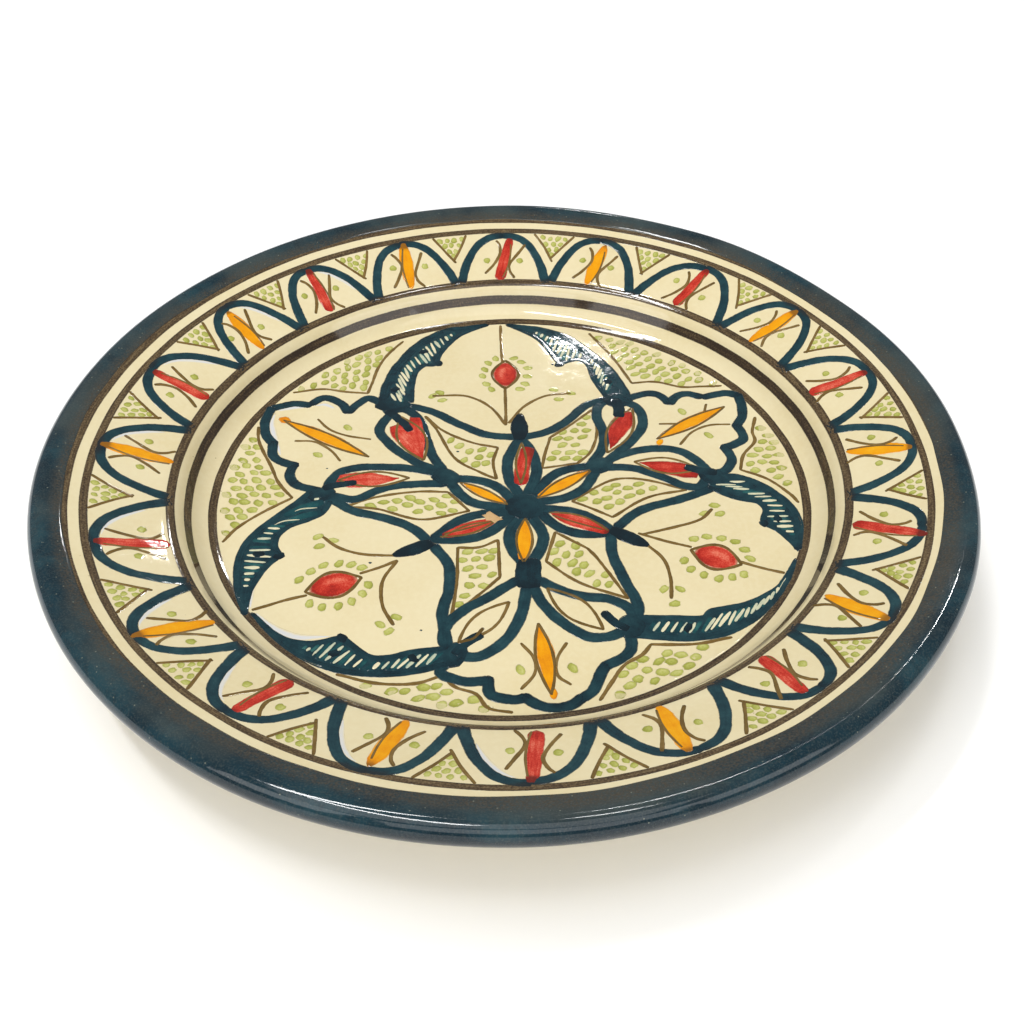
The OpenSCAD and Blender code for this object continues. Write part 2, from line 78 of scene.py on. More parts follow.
def make_stage():
    panel("overhead", (-0.15, -0.9, 2.1), (2.4, 1.3), 13)
    panel("left_tube", (-0.55, 0.5, 2.1), (1.0, 0.12), 13)
    panel("right_tube", (0.3, 0.5, 2.1), (0.26, 0.12), 3)
    panel("back_tube", (-0.45, -0.3, 2.1), (1.0, 0.11), 12)
    panel("far_window", (0.16, 2.05, 1.395), (0.15, 0.02), 1.7)
    panel("left_fill", (-2.0, -1.8, 1.7), (1.4, 1.4), 13)
    panel("right_fill", (2.1, -1.6, 1.6), (1.4, 1.4), 11)
    panel("back_fill", (0.3, -2.9, 1.9), (3.4, 1.6), 28, target=(0, 0.9, 0))
    world = bpy.data.worlds.new("studio")
    bpy.context.scene.world = world
    world.use_nodes = True
    sky = world.node_tree.nodes["Background"]
    sky.inputs["Color"].default_value = (0.93, 0.96, 1, 1)
    sky.inputs["Strength"].default_value = 0.26
    bpy.context.scene.view_settings.view_transform = "Standard"
    mesh = bpy.data.meshes.new("floor")
    side = 12
    corners = [(-side, -side, 0), (side, -side, 0), (side, side, 0), (-side, side, 0)]
    mesh.from_pydata(corners, [], [(0, 1, 2, 3)])
    floor = bpy.data.objects.new("floor", mesh)
    bpy.context.scene.collection.objects.link(floor)
    mesh.materials.append(Shader("floor").surface((251, 251, 250), 0.9, specular=0.1))


# ---- Materials ----
def linear(rgb):
    """An sRGB colour, each channel 0 to 255, as linear light."""
    c = [v / 255 for v in rgb]
    return [v / 12.92 if v <= 0.04045 else ((v + 0.055) / 1.055) ** 2.4 for v in c] + [1]


class Shader:
    """Builds one procedural material. Sockets are linked and other values set. Tuples are sRGB colours."""

    def __init__(self, name):
        self.material = bpy.data.materials.new(name)
        self.material.use_nodes = True
        self.tree = self.material.node_tree
        self.bsdf = self.tree.nodes["Principled BSDF"]

    def set(self, socket, value):
        if isinstance(value, bpy.types.NodeSocket):
            self.tree.links.new(value, socket)
        else:
            socket.default_value = linear(value) if isinstance(value, tuple) else value

    def node(self, kind, *values):
        """A new node with its first inputs set in order."""
        node = self.tree.nodes.new("ShaderNode" + kind)
        for socket, value in zip(node.inputs, values):
            self.set(socket, value)
        return node

    def uv(self):
        """Along and across the brush stroke."""
        node = self.node("UVMap")
        node.uv_map = "brush"
        return self.node("SeparateXYZ", node.outputs[0]).outputs[:2]

    def attribute(self, name):
        node = self.node("Attribute")
        node.attribute_name = name
        return node.outputs["Fac"]

    def place(self):
        return self.node("TexCoord").outputs["Object"]

    def calc(self, op, *values):
        node = self.node("Math", *values)
        node.operation = op
        return node.outputs[0]

    def vector(self, *parts):
        return self.node("CombineXYZ", *parts).outputs[0]

    def noise(self, size=1.0, detail=2.0, vector=None, warp=0.0):
        """Noise from 0 to 1. size is in millimetres where vector is left out."""
        node = self.node("TexNoise", vector or self.place())
        node.inputs["Scale"].default_value = 1 / (size if vector else size * MM)
        node.inputs["Detail"].default_value = detail
        node.inputs["Roughness"].default_value = 0.55
        node.inputs["Distortion"].default_value = warp
        return node.outputs[0]

    def sway(self, value, noise, amount):
        """The value moved up and down by a noise, over a range of amount."""
        return self.calc("MULTIPLY_ADD", self.calc("SUBTRACT", noise, 0.5), amount, value)

    def specks(self, size, low, high, strength, rare):
        """Round specks in some of the cells of this size. Each fades out from low to high, in cells."""
        node = self.node("TexVoronoi", self.place())
        node.inputs["Scale"].default_value = 1 / (size * MM)
        spot = self.fade(node.outputs["Distance"], low, high, strength, 0)
        return self.calc("MULTIPLY", spot, self.calc("GREATER_THAN", node.outputs["Color"], rare))

    def fade(self, value, low, high, start=0.0, end=1.0):
        """A smooth step from start at low to end at high."""
        node = self.node("MapRange", value, low, high, start, end)
        node.interpolation_type = "SMOOTHSTEP"
        return node.outputs[0]

    def mix(self, factor, a, b):
        node = self.node("Mix", factor)
        node.data_type = "RGBA"
        self.set(node.inputs[6], a)
        self.set(node.inputs[7], b)
        return node.outputs[2]

    def ramp(self, value, colours):
        """A colour that runs through the colours given as value goes from 0 to 1."""
        node = self.node("ValToRGB", value)
        bar = node.color_ramp
        bar.interpolation = "B_SPLINE"
        while len(bar.elements) < len(colours):
            bar.elements.new(0.5)
        for i, rgb in enumerate(colours):
            bar.elements[i].position = i / (len(colours) - 1)
            bar.elements[i].color = linear(rgb)
        return node.outputs[0]

    def bump(self, height, depth):
        """depth is the real height of the bumps in millimetres."""
        node = self.node("Bump")
        node.inputs["Distance"].default_value = depth * MM
        self.set(node.inputs["Height"], height)
        self.set(self.bsdf.inputs["Normal"], node.outputs[0])

    def surface(self, colour, roughness, specular=0.5):
        """Finishes the material and hands it over."""
        self.set(self.bsdf.inputs["Base Color"], colour)
        self.set(self.bsdf.inputs["Roughness"], roughness)
        self.bsdf.inputs["Specular IOR Level"].default_value = specular
        return self.material


def glaze_colour(t):
    """The cream glaze: faint clouds, fine mottling and a few iron specks. It depends on place alone."""
    colour = t.mix(t.fade(t.noise(26, 2), 0.3, 0.75), (224, 210, 170), (219, 203, 159))
    colour = t.mix(t.fade(t.noise(1.6, 3), 0.35, 0.75, 0, 0.3), colour, (230, 219, 183))
    return t.mix(t.specks(7.5, 0.014, 0.034, 0.75, 0.62), colour, (112, 90, 62))


def glaze_skin(t, extra=0.0):
    """Shallow dips and pinholes of a dipped glaze, as a bump, and the roughness that goes with them."""
    height = t.calc("MULTIPLY_ADD", t.noise(1.1, 2), 0.16, t.noise(5, 2))
    height = t.calc("MULTIPLY_ADD", t.specks(5.2, 0.01, 0.03, 1, 0.55), -0.25, height)
    t.bump(height, 0.035)
    return t.fade(t.noise(4, 3), 0.3, 0.8, 0.025 + extra, 0.08 + extra)


def make_glaze(name, worn=0.0):
    t = Shader(name)
    colour = glaze_colour(t)
    if worn:
        colour = t.mix(t.fade(t.noise(9, 4), 0.45, 0.8, 0, worn), colour, (186, 160, 112))
    return t.surface(colour, glaze_skin(t))


def make_paint(name, colours, under, streaky=0.3, grainy=0.15, edge=0.4, rim=0.15, soft=0.84):
    """Brushed colour under the glaze. It pools where tone is low, and where the attribute under is high it
    shows the colour under."""
    t = Shader(name)
    along, across = t.uv()
    side = t.calc("ABSOLUTE", across)
    tone = t.attribute("tone")
    brush = t.vector(t.calc("MULTIPLY", along, 1.3), t.calc("MULTIPLY", across, 3.2), tone)
    value = t.sway(tone, t.noise(1, 2, brush), streaky * 2.6)
    value = t.sway(value, t.noise(2.4, 3), 0.55)
    value = t.sway(value, t.noise(0.35, 2), grainy * 2.6)
    value = t.calc("SUBTRACT", value, t.fade(side, 0.55, 0.85, 0, rim))
    colour = t.mix(t.attribute("under"), t.ramp(value, colours), under)
    ragged = t.sway(side, t.noise(0.7, 2), 0.22)
    colour = t.mix(t.fade(ragged, soft, 1.02, 0, edge), colour, glaze_colour(t))
    return t.surface(colour, glaze_skin(t, 0.01))


def make_rim_glaze():
    """Blue-green glaze over the lip. A brown line shows through its inner edge. It ran thinner in places and
    is greyer there on the face and the top of the roll; that grey is partly painted sheen. Its outer face and
    underside are darkened with painted shade.
    """
    t = Shader("rim_glaze")
    where = t.sway(t.attribute("where"), t.noise(12, 3), 2.6)
    tint = t.ramp(t.fade(t.noise(20, 4, warp=0.6), 0.3, 0.72), [(8, 31, 41), (14, 47, 58), (31, 62, 70)])
    tint = t.mix(t.fade(t.noise(2.2, 4), 0.4, 0.72, 0, 0.55), tint, (17, 34, 42))
    # Grey patches on the face and the top of the roll: partly glaze that ran thinner, and partly painted
    # sheen, the pale reflection on the glossy upper surface
    thin_glaze_and_sheen = t.calc("MULTIPLY", t.fade(t.noise(34, 3), 0.38, 0.66), t.fade(where, 11.5, 15, 0.6, 0))
    tint = t.mix(thin_glaze_and_sheen, tint, (70, 76, 72))
    grit = t.fade(t.noise(0.6, 3), 0.3, 0.75, 0.2, 0.95)
    tint = t.mix(t.calc("MULTIPLY", t.fade(where, 7.6, 11, 1, 0), grit), tint, (72, 64, 52))
    # Painted shade: from the outer face of the roll and on under it, the glaze is darkened towards near-black
    # blue
    tint = t.mix(t.fade(where, 15.5, 19, 0, 0.8), tint, (7, 20, 27))
    tint = t.mix(t.fade(t.noise(0.45, 3), 0.42, 0.78, 0, 0.3), tint, (92, 98, 92))
    tint = t.mix(t.specks(1.7, 0.06, 0.15, 0.75, 0.6), tint, (122, 126, 112))
    return t.surface(tint, glaze_skin(t, 0.03))


def make_band(name, colours):
    """A line of manganese brown put on as the plate turned: streaks run round it, and it is grainy."""
    t = Shader(name)
    across = t.uv()[1]
    side = t.calc("ABSOLUTE", across)
    x, y, _ = t.node("SeparateXYZ", t.place()).outputs
    round_it = t.vector(*[t.calc("MULTIPLY", v, k) for v, k in ((x, 90), (y, 90), (across, 2.4))])
    value = t.sway(t.attribute("tone"), t.noise(1, 3, round_it), 1.1)
    value = t.sway(value, t.noise(0.5, 3), 1.5)
    value = t.calc("SUBTRACT", value, t.fade(side, 0.5, 0.85, 0, 0.22))
    ragged = t.sway(side, t.noise(0.6, 2), 0.3)
    colour = t.mix(t.fade(ragged, 0.84, 1.04, 0, 0.5), t.ramp(value, colours), glaze_colour(t))
    return t.surface(colour, glaze_skin(t, 0.03))


def make_clay(name, dusty):
    """Fired earthenware: buff, with darker grit and a dry surface."""
    t = Shader(name)
    colour = t.ramp(t.noise(5, 4), [(176, 138, 92), (196, 160, 112), (210, 178, 132)])
    colour = t.mix(t.fade(t.noise(0.5, 3), 0.55, 0.75, 0, 0.5), colour, (140, 104, 66))
    colour = t.mix(t.specks(2.2, 0.06, 0.12, 0.8, 0.7), colour, (98, 76, 54))
    colour = t.mix(t.fade(t.noise(12, 3), 0.4, 0.8, 0, dusty), colour, (168, 156, 140))
    t.bump(t.calc("MULTIPLY_ADD", t.noise(0.4, 3), 0.6, t.noise(2.5, 2)), 0.12)
    return t.surface(colour, t.fade(t.noise(1, 2), 0.3, 0.7, 0.72, 0.9), specular=0.3)


# ---- Curves ----
def run_of(line):
    """Distance along a line at each of its points."""
    return np.concatenate([[0], np.cumsum(np.hypot(*np.diff(line, axis=0).T))])


def smooth(points, step=0.9):
    """A smooth curve through the points, in even steps."""
    p = np.array(points, float)
    e = np.vstack([2 * p[0] - p[1], p, 2 * p[-1] - p[-2]])
    t = np.linspace(0, 1, 16, endpoint=False)[:, None]
    dense = []
    for a, b, c, d in zip(e, e[1:], e[2:], e[3:]):
        bend, twist = 2 * a - 5 * b + 4 * c - d, 3 * b - a - 3 * c + d
        dense.append(b + (c - a) * t / 2 + bend * t**2 / 2 + twist * t**3 / 2)
    return even(np.vstack([*dense, p[-1:]]), step)


def even(line, step=None, count=None):
    """The same line with its points evenly spaced."""
    run = run_of(line)
    count = count or max(3, int(round(run[-1] / step)))
    at = np.linspace(0, run[-1], count + 1)
    return np.stack([np.interp(at, run, line[:, 0]), np.interp(at, run, line[:, 1])], 1)


def normals(line):
    d = np.gradient(line, axis=0)
    d /= np.maximum(np.hypot(d[:, 0], d[:, 1]), 1e-9)[:, None]
    return np.stack([-d[:, 1], d[:, 0]], 1)


def carried_on(line, d):
    """The line made longer by d at both of its ends."""
    ends = []
    for tip, step in ((line[0], line[0] - line[1]), (line[-1], line[-1] - line[-2])):
        ends.append(tip + step / np.hypot(*step) * d)
    return np.vstack([ends[0], line, ends[1]])


def bow(a, b, h, step=0.9):
    """A line from a to b that bows out to the left by h."""
    a, b = np.array(a, float), np.array(b, float)
    length = np.hypot(*(b - a))
    t = np.linspace(0, 1, max(4, int(length / step)) + 1)[:, None]
    left = np.array([a[1] - b[1], b[0] - a[0]]) / length
    return a + (b - a) * t + left * h * np.sin(np.pi * t)


def polar(r, a):
    a = np.radians(a)
    return np.stack([r * np.cos(a), r * np.sin(a)], -1)


def around(table, a):
    """A value given at even angles round the plate, blended smoothly between them. a is in radians."""
    table = np.array(table, float)
    at = (np.asarray(a) / (2 * np.pi) % 1) * len(table)
    i = np.floor(at).astype(int)
    t = at - i
    t = t * t * (3 - 2 * t)
    return table[i % len(table)] * (1 - t) + table[(i + 1) % len(table)] * t


def jitter(size):
    return rng.uniform(-size, size)


def wander(size):
    """A slow random drift along a stroke, as a function of distance in millimetres."""
    waves = enumerate((11.0, 5.0, 2.0))
    parts = [(rng.uniform(0, 6.28), size / (1 + i * 0.6), rng.uniform(0.8, 1.25) * w) for i, w in waves]
    return lambda s: sum(h * np.sin(p + 6.28 * np.asarray(s) / w) for p, h, w in parts) / 1.8


def inside(p, q):
    """Whether the point p is inside the outline q."""
    hit = False
    for a, b in zip(q, np.roll(q, -1, axis=0)):
        if (a[1] > p[1]) != (b[1] > p[1]) and p[0] < a[0] + (p[1] - a[1]) * (b[0] - a[0]) / (b[1] - a[1]):
            hit = not hit
    return hit


# ---- Shape of the plate ----
LEDGE_R = 99.5
LIP_C = (131.25, 30.25)
LIP_T = 3.75
RIM_SLOPE = math.radians(17.8)
# How far the hand-trimmed lip stands beyond a true circle, and how far it rises, every 30 degrees
REACH = [-4.6, -4.5, -1.6, 0, 0.1, -0.1, -0.1, -0.6, -0.8, -1.5, -2.1, -2.7]
RISE = [0.2, 0.1, 0.7, 1.2, 1.1, 0.8, 0.2, 0, 0, -0.1, -0.1, 0.1]

# Radius and height of the face from the middle out, and further down of the back from the lip in
face_curve = smooth([
    (0, 12.6), (30, 12.65), (60, 12.75), (76, 12.85), (84, 13.0), (87.05, 13.35), (90.05, 14.6),
    (92.45, 16.55), (94.55, 19.3), (96.3, 22.05), (97.8, 23.4), (99.8, 24.15), (103, 25.15), (112, 28.0),
    (118, 29.95), (128, 33.16),
], 0.1)
lip_curve = np.array([
    [LIP_C[0] + LIP_T * math.cos(a), LIP_C[1] + LIP_T * math.sin(a)]
    for a in np.linspace(math.pi / 2 + RIM_SLOPE, -math.pi / 2 + RIM_SLOPE, 48)
])
back_curve = smooth([
    (132.4, 26.68), (118, 22.1), (106, 18.3), (101, 16.0), (97, 13.3), (93.5, 10.3), (90, 8.1), (85, 6.5),
    (77.5, 5.6),
], 0.4)


def face_z(r):
    return np.interp(r, face_curve[:, 0], face_curve[:, 1])


def face_slope(r):
    return (face_z(r + 0.25) - face_z(r - 0.25)) / 0.5


def warp(r, a, z):
    """Moves points of a true plate, with a in radians, to where the potter's hand left them."""
    t = np.clip((r - LEDGE_R) / 35.5, 0, 1.05) ** 1.6
    r = r + around(REACH, a) * t
    z = z + around(RISE, a) * t + 0.12 * t * np.sin(3 * a + 1)
    return np.stack([r * np.cos(a), r * np.sin(a), z], -1)


def on_face(xy, lift):
    """Points of the painting, given from above, where they lie lift above the glaze."""
    r, a = np.hypot(xy[..., 0], xy[..., 1]), np.arctan2(xy[..., 1], xy[..., 0])
    slope = face_slope(r)
    n = np.sqrt(1 + slope**2)
    return warp(r - lift * slope / n, a, face_z(r) + lift / n)


def make_object(name, co, faces, flat, uv, values, material, nodes):
    """One piece. flat holds the numbers of its flat faces, and values what its material reads."""
    mesh = bpy.data.meshes.new(name)
    mesh.from_pydata((co * MM).tolist(), [], faces)
    smooth_faces = np.ones(len(faces), bool)
    smooth_faces[flat] = False
    mesh.polygons.foreach_set("use_smooth", smooth_faces)
    corner = np.zeros(len(mesh.loops), int)
    mesh.loops.foreach_get("vertex_index", corner)
    mesh.uv_layers.new(name="brush").data.foreach_set("uv", np.asarray(uv, np.float32)[corner].ravel())
    for key, data in values.items():
        mesh.attributes.new(key, "FLOAT", "POINT").data.foreach_set("value", np.asarray(data, np.float32))
    mesh.materials.append(material)
    mesh.update()
    piece = bpy.data.objects.new(name, mesh)
    bpy.context.scene.collection.objects.link(piece)
    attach(piece, "root")
    # Blender adds a number to a name that one of the CAD's own materials has
    if nodes:
        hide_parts(*nodes)


def turned(name, co, flat, uv, values, material, node):
    """A closed ring of outlines round the plate. Sides of the outline from number flat on are flat."""
    rows, m = co.shape[:2]
    faces = [
        (i * m + c, i * m + (c + 1) % m, (i + 1) % rows * m + (c + 1) % m, (i + 1) % rows * m + c)
        for i in range(rows) for c in range(m)
    ]
    sharp = [k for k in range(len(faces)) if k % m >= flat]
    make_object(name, co.reshape(-1, 3), faces, sharp, uv, values, material, [node])


def coat(name, curve, start, stop, lift, material, node, columns, depth=0.3, bead=0.4, tone=0.5):
    """A closed layer turned round the plate. It covers curve between two distances along it, start and stop,
    which may change with the angle."""
    run = run_of(curve)
    a = np.linspace(0, 2 * np.pi, 400, endpoint=False)[:, None]
    first, last = [np.broadcast_to(end(a) if callable(end) else end, a.shape) for end in (start, stop)]
    u = np.asarray(columns)[None, :]
    s = first + (last - first) * u
    r, z = [np.interp(s, run, part) for part in curve.T]
    dr, dz = [np.interp(s + 0.15, run, part) - np.interp(s - 0.15, run, part) for part in curve.T]
    n = np.maximum(np.hypot(dr, dz), 1e-9)
    height = lift
    if bead:
        inward = np.clip(np.minimum(s - first, last - s) / bead, 0, 1)
        height = lift * np.sqrt(np.clip(1 - (1 - inward) ** 2, 0, 1))
    top, underneath = [warp(r - h * dz / n, a, z + h * dr / n) for h in (height, -depth)]

    def both(here):
        """Values along the top, and then along the underside on the way back."""
        here = np.broadcast_to(here, s.shape)
        return np.concatenate([here, here[:, ::-1]], 1).ravel()

    where = both(s)
    values = {"where": where, "tone": np.full_like(where, tone)}
    uv = np.stack([both(a * 10), both(2 * u - 1)], -1)
    turned(name, np.concatenate([top, underneath[:, ::-1]], 1), s.shape[1] - 1, uv, values, material, node)


def solid(name, outline, material, node):
    """A closed solid turned from an outline of radius and height."""
    a = np.linspace(0, 2 * np.pi, 288, endpoint=False)[:, None]
    r, z = [np.broadcast_to(part, (len(a), len(outline))) for part in np.array(outline, float).T]
    turned(name, warp(r, a, z), len(outline), np.zeros((r.size, 2)), {}, material, node)


# ---- Paint ----
# Height of each layer of the painting over the glaze
HAZE, BAND, DOTS, INK, BLUE = 0.004, 0.008, 0.006, 0.01, 0.016
COLOUR, BLOT, HATCH, OUTLINE, OVER = 0.021, 0.022, 0.025, 0.026, 0.031
# The height across a stroke from edge to edge, as a share, and how far its edges run down into the glaze
ACROSS = np.array([-1, -0.84, -0.4, 0.4, 0.84, 1])
CROWN = np.array([0.05, 0.8, 1, 1, 0.8, 0.05])
SKIRT = 0.1


def round_ends(s, length, w):
    """Half the width of a brush line that starts and stops round."""
    cap = np.clip(np.minimum(s, length - s) / (w * 0.45), 0, 1)
    return w / 2 * np.sqrt(np.clip(1 - (1 - cap) ** 2, 0.03, 1))


def swell(power, low=0.02, shape=lambda t: t):
    """Half the width of a dab that swells between its ends, more fully the lower power is."""
    return lambda s, length, w: w / 2 * np.clip(np.sin(np.pi * shape(s / length)), low, 1) ** power


pointed_ends, slit_ends, fat_ends = swell(0.75), swell(0.4), swell(0.5, 0.01)


def blunt_ends(s, length, w):
    """Half the width of a bud that is broad and round at its foot and narrower towards its tip."""
    foot = np.sqrt(1 - (1 - np.clip(s / (0.6 * w), 0, 1)) ** 2)
    tip = np.sqrt(1 - (1 - np.clip((length - s) / (0.6 * w), 0, 1)) ** 2)
    return w / 2 * np.clip(foot * tip, 0.04, 1) * (1 - 0.32 * (s / length) ** 1.3)


def leg_ends(s, length, w):
    """Half the width of a brush line that is pressed down at its foot."""
    return round_ends(s, length, w) * (1.2 - 0.2 * np.clip(s / 14, 0, 1))


films = []


class Film:
    """Thin closed shapes of paint on the face of the plate, gathered into one piece that replaces nodes."""

    def __init__(self, name, material, *nodes):
        self.name, self.material, self.nodes = name, material, nodes
        self.co, self.uv, self.tone, self.under, self.faces, self.flat = [], [], [], [], [], []
        self.count = 0
        films.append(self)

    def put(self, xy, lift, uv, tone, under):
        self.co.append(on_face(xy.reshape(-1, 2), lift.ravel()))
        self.uv.append(uv.reshape(-1, 2))
        self.tone.append(tone.ravel())
        self.under.append(under.ravel())
        self.count += lift.size

    def sheet(self, grid, lift, tone, under=0.0):
        """A grid of rows along a stroke and columns across it, closed underneath."""
        rows, cols = grid.shape[:2]
        lift = lift + rng.uniform(0, 0.002)
        side = ACROSS if cols == len(ACROSS) else np.linspace(-1, 1, cols)
        ends = np.ones((rows, 1))
        ends[0] = ends[-1] = 0.1
        height = lift * np.interp(side, ACROSS, CROWN) * ends
        height = np.pad(height, ((0, 0), (1, 1)), constant_values=-SKIRT)
        run = run_of((grid[:, 0] + grid[:, -1]) / 2)[:, None] + rng.uniform(0, 50)
        uv = np.stack(np.broadcast_arrays(run / 10, np.pad(side, 1, "edge")), -1)
        wide = cols + 2
        k = self.count
        for i in range(rows - 1):
            for c in range(wide):
                p, q = k + i * wide + c, k + i * wide + (c + 1) % wide
                if c in (0, cols, wide - 1):
                    self.flat.append(len(self.faces))
                self.faces.append((p, p + wide, q + wide, q))
        self.flat += [len(self.faces), len(self.faces) + 1]
        self.faces.append(tuple(range(k, k + wide)))
        self.faces.append(tuple(range(k + rows * wide - 1, k + (rows - 1) * wide - 1, -1)))
        grid = np.pad(grid, ((0, 0), (1, 1), (0, 0)), "edge")
        shown = [np.pad(np.broadcast_to(v, (rows, cols)), ((0, 0), (1, 1)), "edge") for v in (tone, under)]
        self.put(grid, height, uv, *shown)

    def stroke(self, line, w, lift, tone=0.5, ends=round_ends, wobble=0.05, pool=0.3, under=None):
        """A brush line. It is darker where the brush stops, and its width drifts a little."""
        if isinstance(line, list):
            line = smooth(line)
        if ends in (round_ends, leg_ends):
            line = carried_on(line, 0.2 * w)
        run = run_of(line)
        length = run[-1]
        half = ends(run, length, w) * (1 + wander(wobble)(run))
        lean = wander(0.03 * w)(run)[:, None]
        grid = line[:, None] + normals(line)[:, None] * (half[:, None] * ACROSS + lean)[..., None]
        stop = np.clip(1 - np.minimum(run, length - run) / (1.2 * w), 0, 1)
        shade = tone + jitter(0.08) + wander(0.08)(run) - pool * stop
        self.sheet(grid, lift, shade[:, None], under(grid) if under else 0.0)

    def dot(self, c, angle, rx, ry, lift, tone=0.5, n=12, ragged=0.1, rings=(0.6, 0.88, 1)):
        """An oval dab: flat in the middle, with a ragged edge."""
        t = np.linspace(0, 2 * np.pi, n, endpoint=False)
        edge = 1 + np.array([jitter(ragged) for _ in t])
        ring = np.stack([rx * np.cos(t), ry * np.sin(t)], 1) * edge[:, None]
        s, d = math.sin(math.radians(angle)), math.cos(math.radians(angle))
        ring = ring @ np.array([[d, s], [-s, d]])
        xy = np.concatenate([[np.zeros(2)]] + [ring * f for f in rings]) + np.asarray(c)
        levels = np.repeat([1] * (len(rings) - 2) + [0.85, 0.1], n)
        height = np.concatenate([[1], levels]) * (lift + rng.uniform(0, 0.002))
        uv = np.concatenate([[[0, 0]]] + [np.stack([t / 6, np.full(n, f)], 1) for f in rings])
        shade = tone + jitter(0.14) + 0.18 * np.concatenate([[0], np.tile(np.cos(t - 1), len(rings))])
        first = self.count + 1
        last = first + (len(rings) - 1) * n
        for i in range(n):
            j = (i + 1) % n
            self.faces.append((first - 1, first + i, first + j))
            for p in range(first, last, n):
                self.faces.append((p + i, p + n + i, p + n + j, p + j))
        self.flat.append(len(self.faces))
        self.faces.append(tuple(range(last + n - 1, last - 1, -1)))
        self.put(xy, height, uv, shade, np.zeros_like(shade))

    def make(self):
        co, uv, tone, under = [np.concatenate(part) for part in (self.co, self.uv, self.tone, self.under)]
        values = {"tone": tone, "under": under}
        make_object(self.name, co, self.faces, self.flat, uv, values, self.material, self.nodes)


def ring_mask(*spans):
    """Shows the colour under a stroke where it crosses a brown band, each given by its two radii."""
    def mask(grid):
        r = np.hypot(grid[..., 0], grid[..., 1])
        bands = [np.clip((r - a) * 2 + 1, 0, 1) * np.clip((b - r) * 2 + 1, 0, 1) for a, b in spans]
        return np.clip(sum(bands), 0, 1) * 0.8
    return mask


def end_mask(line, span):
    """Shows the colour under a stroke over its last span millimetres, where it lies on another colour."""
    return lambda grid: np.clip((span - np.hypot(*(grid - line[-1]).T).T) / 0.8 + 1, 0, 1) * 0.85


make_camera()
make_stage()

glaze = make_glaze("cream_glaze")
back_glaze = make_glaze("cream_glaze_back", worn=0.5)
clay = make_clay("bare_clay", 0.3)
rim = make_rim_glaze()
brown = make_band("brown_band", [(44, 34, 26), (78, 62, 42), (110, 92, 64), (136, 118, 84)])
blue = make_paint(
    "blue_paint", [(11, 26, 34), (18, 48, 56), (31, 65, 71), (54, 88, 90)], (36, 38, 38),
    streaky=0.18, rim=0.1)
pools = make_paint(
    "blue_pools", [(10, 24, 31), (17, 44, 52), (27, 59, 65), (46, 78, 82)], (36, 38, 38),
    streaky=0.18, edge=0, rim=0)
teal = make_paint(
    "teal_hatching", [(12, 42, 50), (18, 62, 68), (30, 84, 84), (70, 116, 108)], (20, 40, 44),
    streaky=0.2, rim=0.1)
red = make_paint(
    "red_paint", [(132, 26, 16), (182, 40, 26), (206, 68, 48), (228, 138, 110)], (92, 30, 20),
    streaky=0.36, grainy=0.34)
yellow = make_paint(
    "yellow_paint", [(206, 118, 0), (228, 148, 0), (234, 162, 0), (238, 186, 44)], (120, 78, 20), streaky=0.2)
green = make_paint(
    "green_paint", [(138, 140, 56), (164, 166, 76), (184, 184, 102), (204, 200, 136)], (120, 110, 60),
    edge=0.6)
pen = make_paint(
    "brown_pen", [(86, 66, 28), (110, 86, 42), (132, 106, 58), (158, 134, 88)], (70, 56, 36), edge=0.5)
cream_gaps = make_paint(
    "hatching_gaps", [(120, 146, 136), (178, 186, 160), (212, 206, 172), (226, 215, 178)], (60, 90, 90),
    edge=0.2)
halo_paint = make_paint(
    "blue_haze", [(204, 206, 212), (210, 210, 208), (217, 212, 196), (221, 211, 182)], (206, 206, 206),
    streaky=0.2, grainy=0.05, edge=1.0, soft=0.2)


# ---- The turned body and its coats ----
def length_to(curve, r):
    """Distance along a curve to the radius r."""
    return float(np.interp(r, curve[:, 0], run_of(curve)))


# Columns from the middle to the lip, closest together on the wall
wall_columns = np.concatenate([
    np.linspace(0.004, 0.56, 22, endpoint=False), np.linspace(0.56, 0.74, 60, endpoint=False),
    np.linspace(0.74, 1, 16),
])
face_end = length_to(face_curve, 127.4)
coat("glazed_face", face_curve, 0, face_end, 0.0, glaze, "face_glaze", wall_columns, depth=0.45, bead=0)

# The lip's glaze: from the face, over the roll and a little way under it
LIP_START = 119.5
on_rim = face_curve[face_curve[:, 0] > LIP_START]
over_lip = np.concatenate([on_rim, lip_curve[1:], even(back_curve[:60], 0.4)[1:]])
# Radius of the inner edge of the lip's glaze, every 30 degrees
EDGE_IN = [124.1, 124.2, 125.3, 125.6, 125.6, 126.1, 126.2, 124.7, 124.1, 123.4, 123.4, 123.6]


def rim_start(a):
    edge = around(EDGE_IN, a) + 0.25 * np.sin(7 * a + 1) + 0.15 * np.sin(17 * a) + 0.1 * np.sin(31 * a + 2)
    return (edge - LIP_START) / math.cos(RIM_SLOPE)


def rim_stop(a):
    return 22.5 + 0.7 * np.sin(3 * a + 2) + 0.5 * np.sin(8 * a) + 0.4 * np.sin(13 * a + 1)


rim_columns = np.concatenate([[0, 0.012, 0.03, 0.06], np.linspace(0.1, 0.94, 44), [0.97, 0.99, 1]])
coat("glazed_rim", over_lip, rim_start, rim_stop, 0.14, rim, "rim_glaze", rim_columns, bead=0.8)
back_end = run_of(back_curve)[-1] - 1.8


def back_stop(a):
    return back_end + 0.8 * np.sin(5 * a) + 0.5 * np.sin(11 * a + 2) + 0.35 * np.sin(19 * a)


back_columns = np.linspace(0, 1, 70)
coat("glazed_back", back_curve, 0.4, back_stop, 0.0, back_glaze, "back_glaze", back_columns,
     depth=-0.45, bead=0)

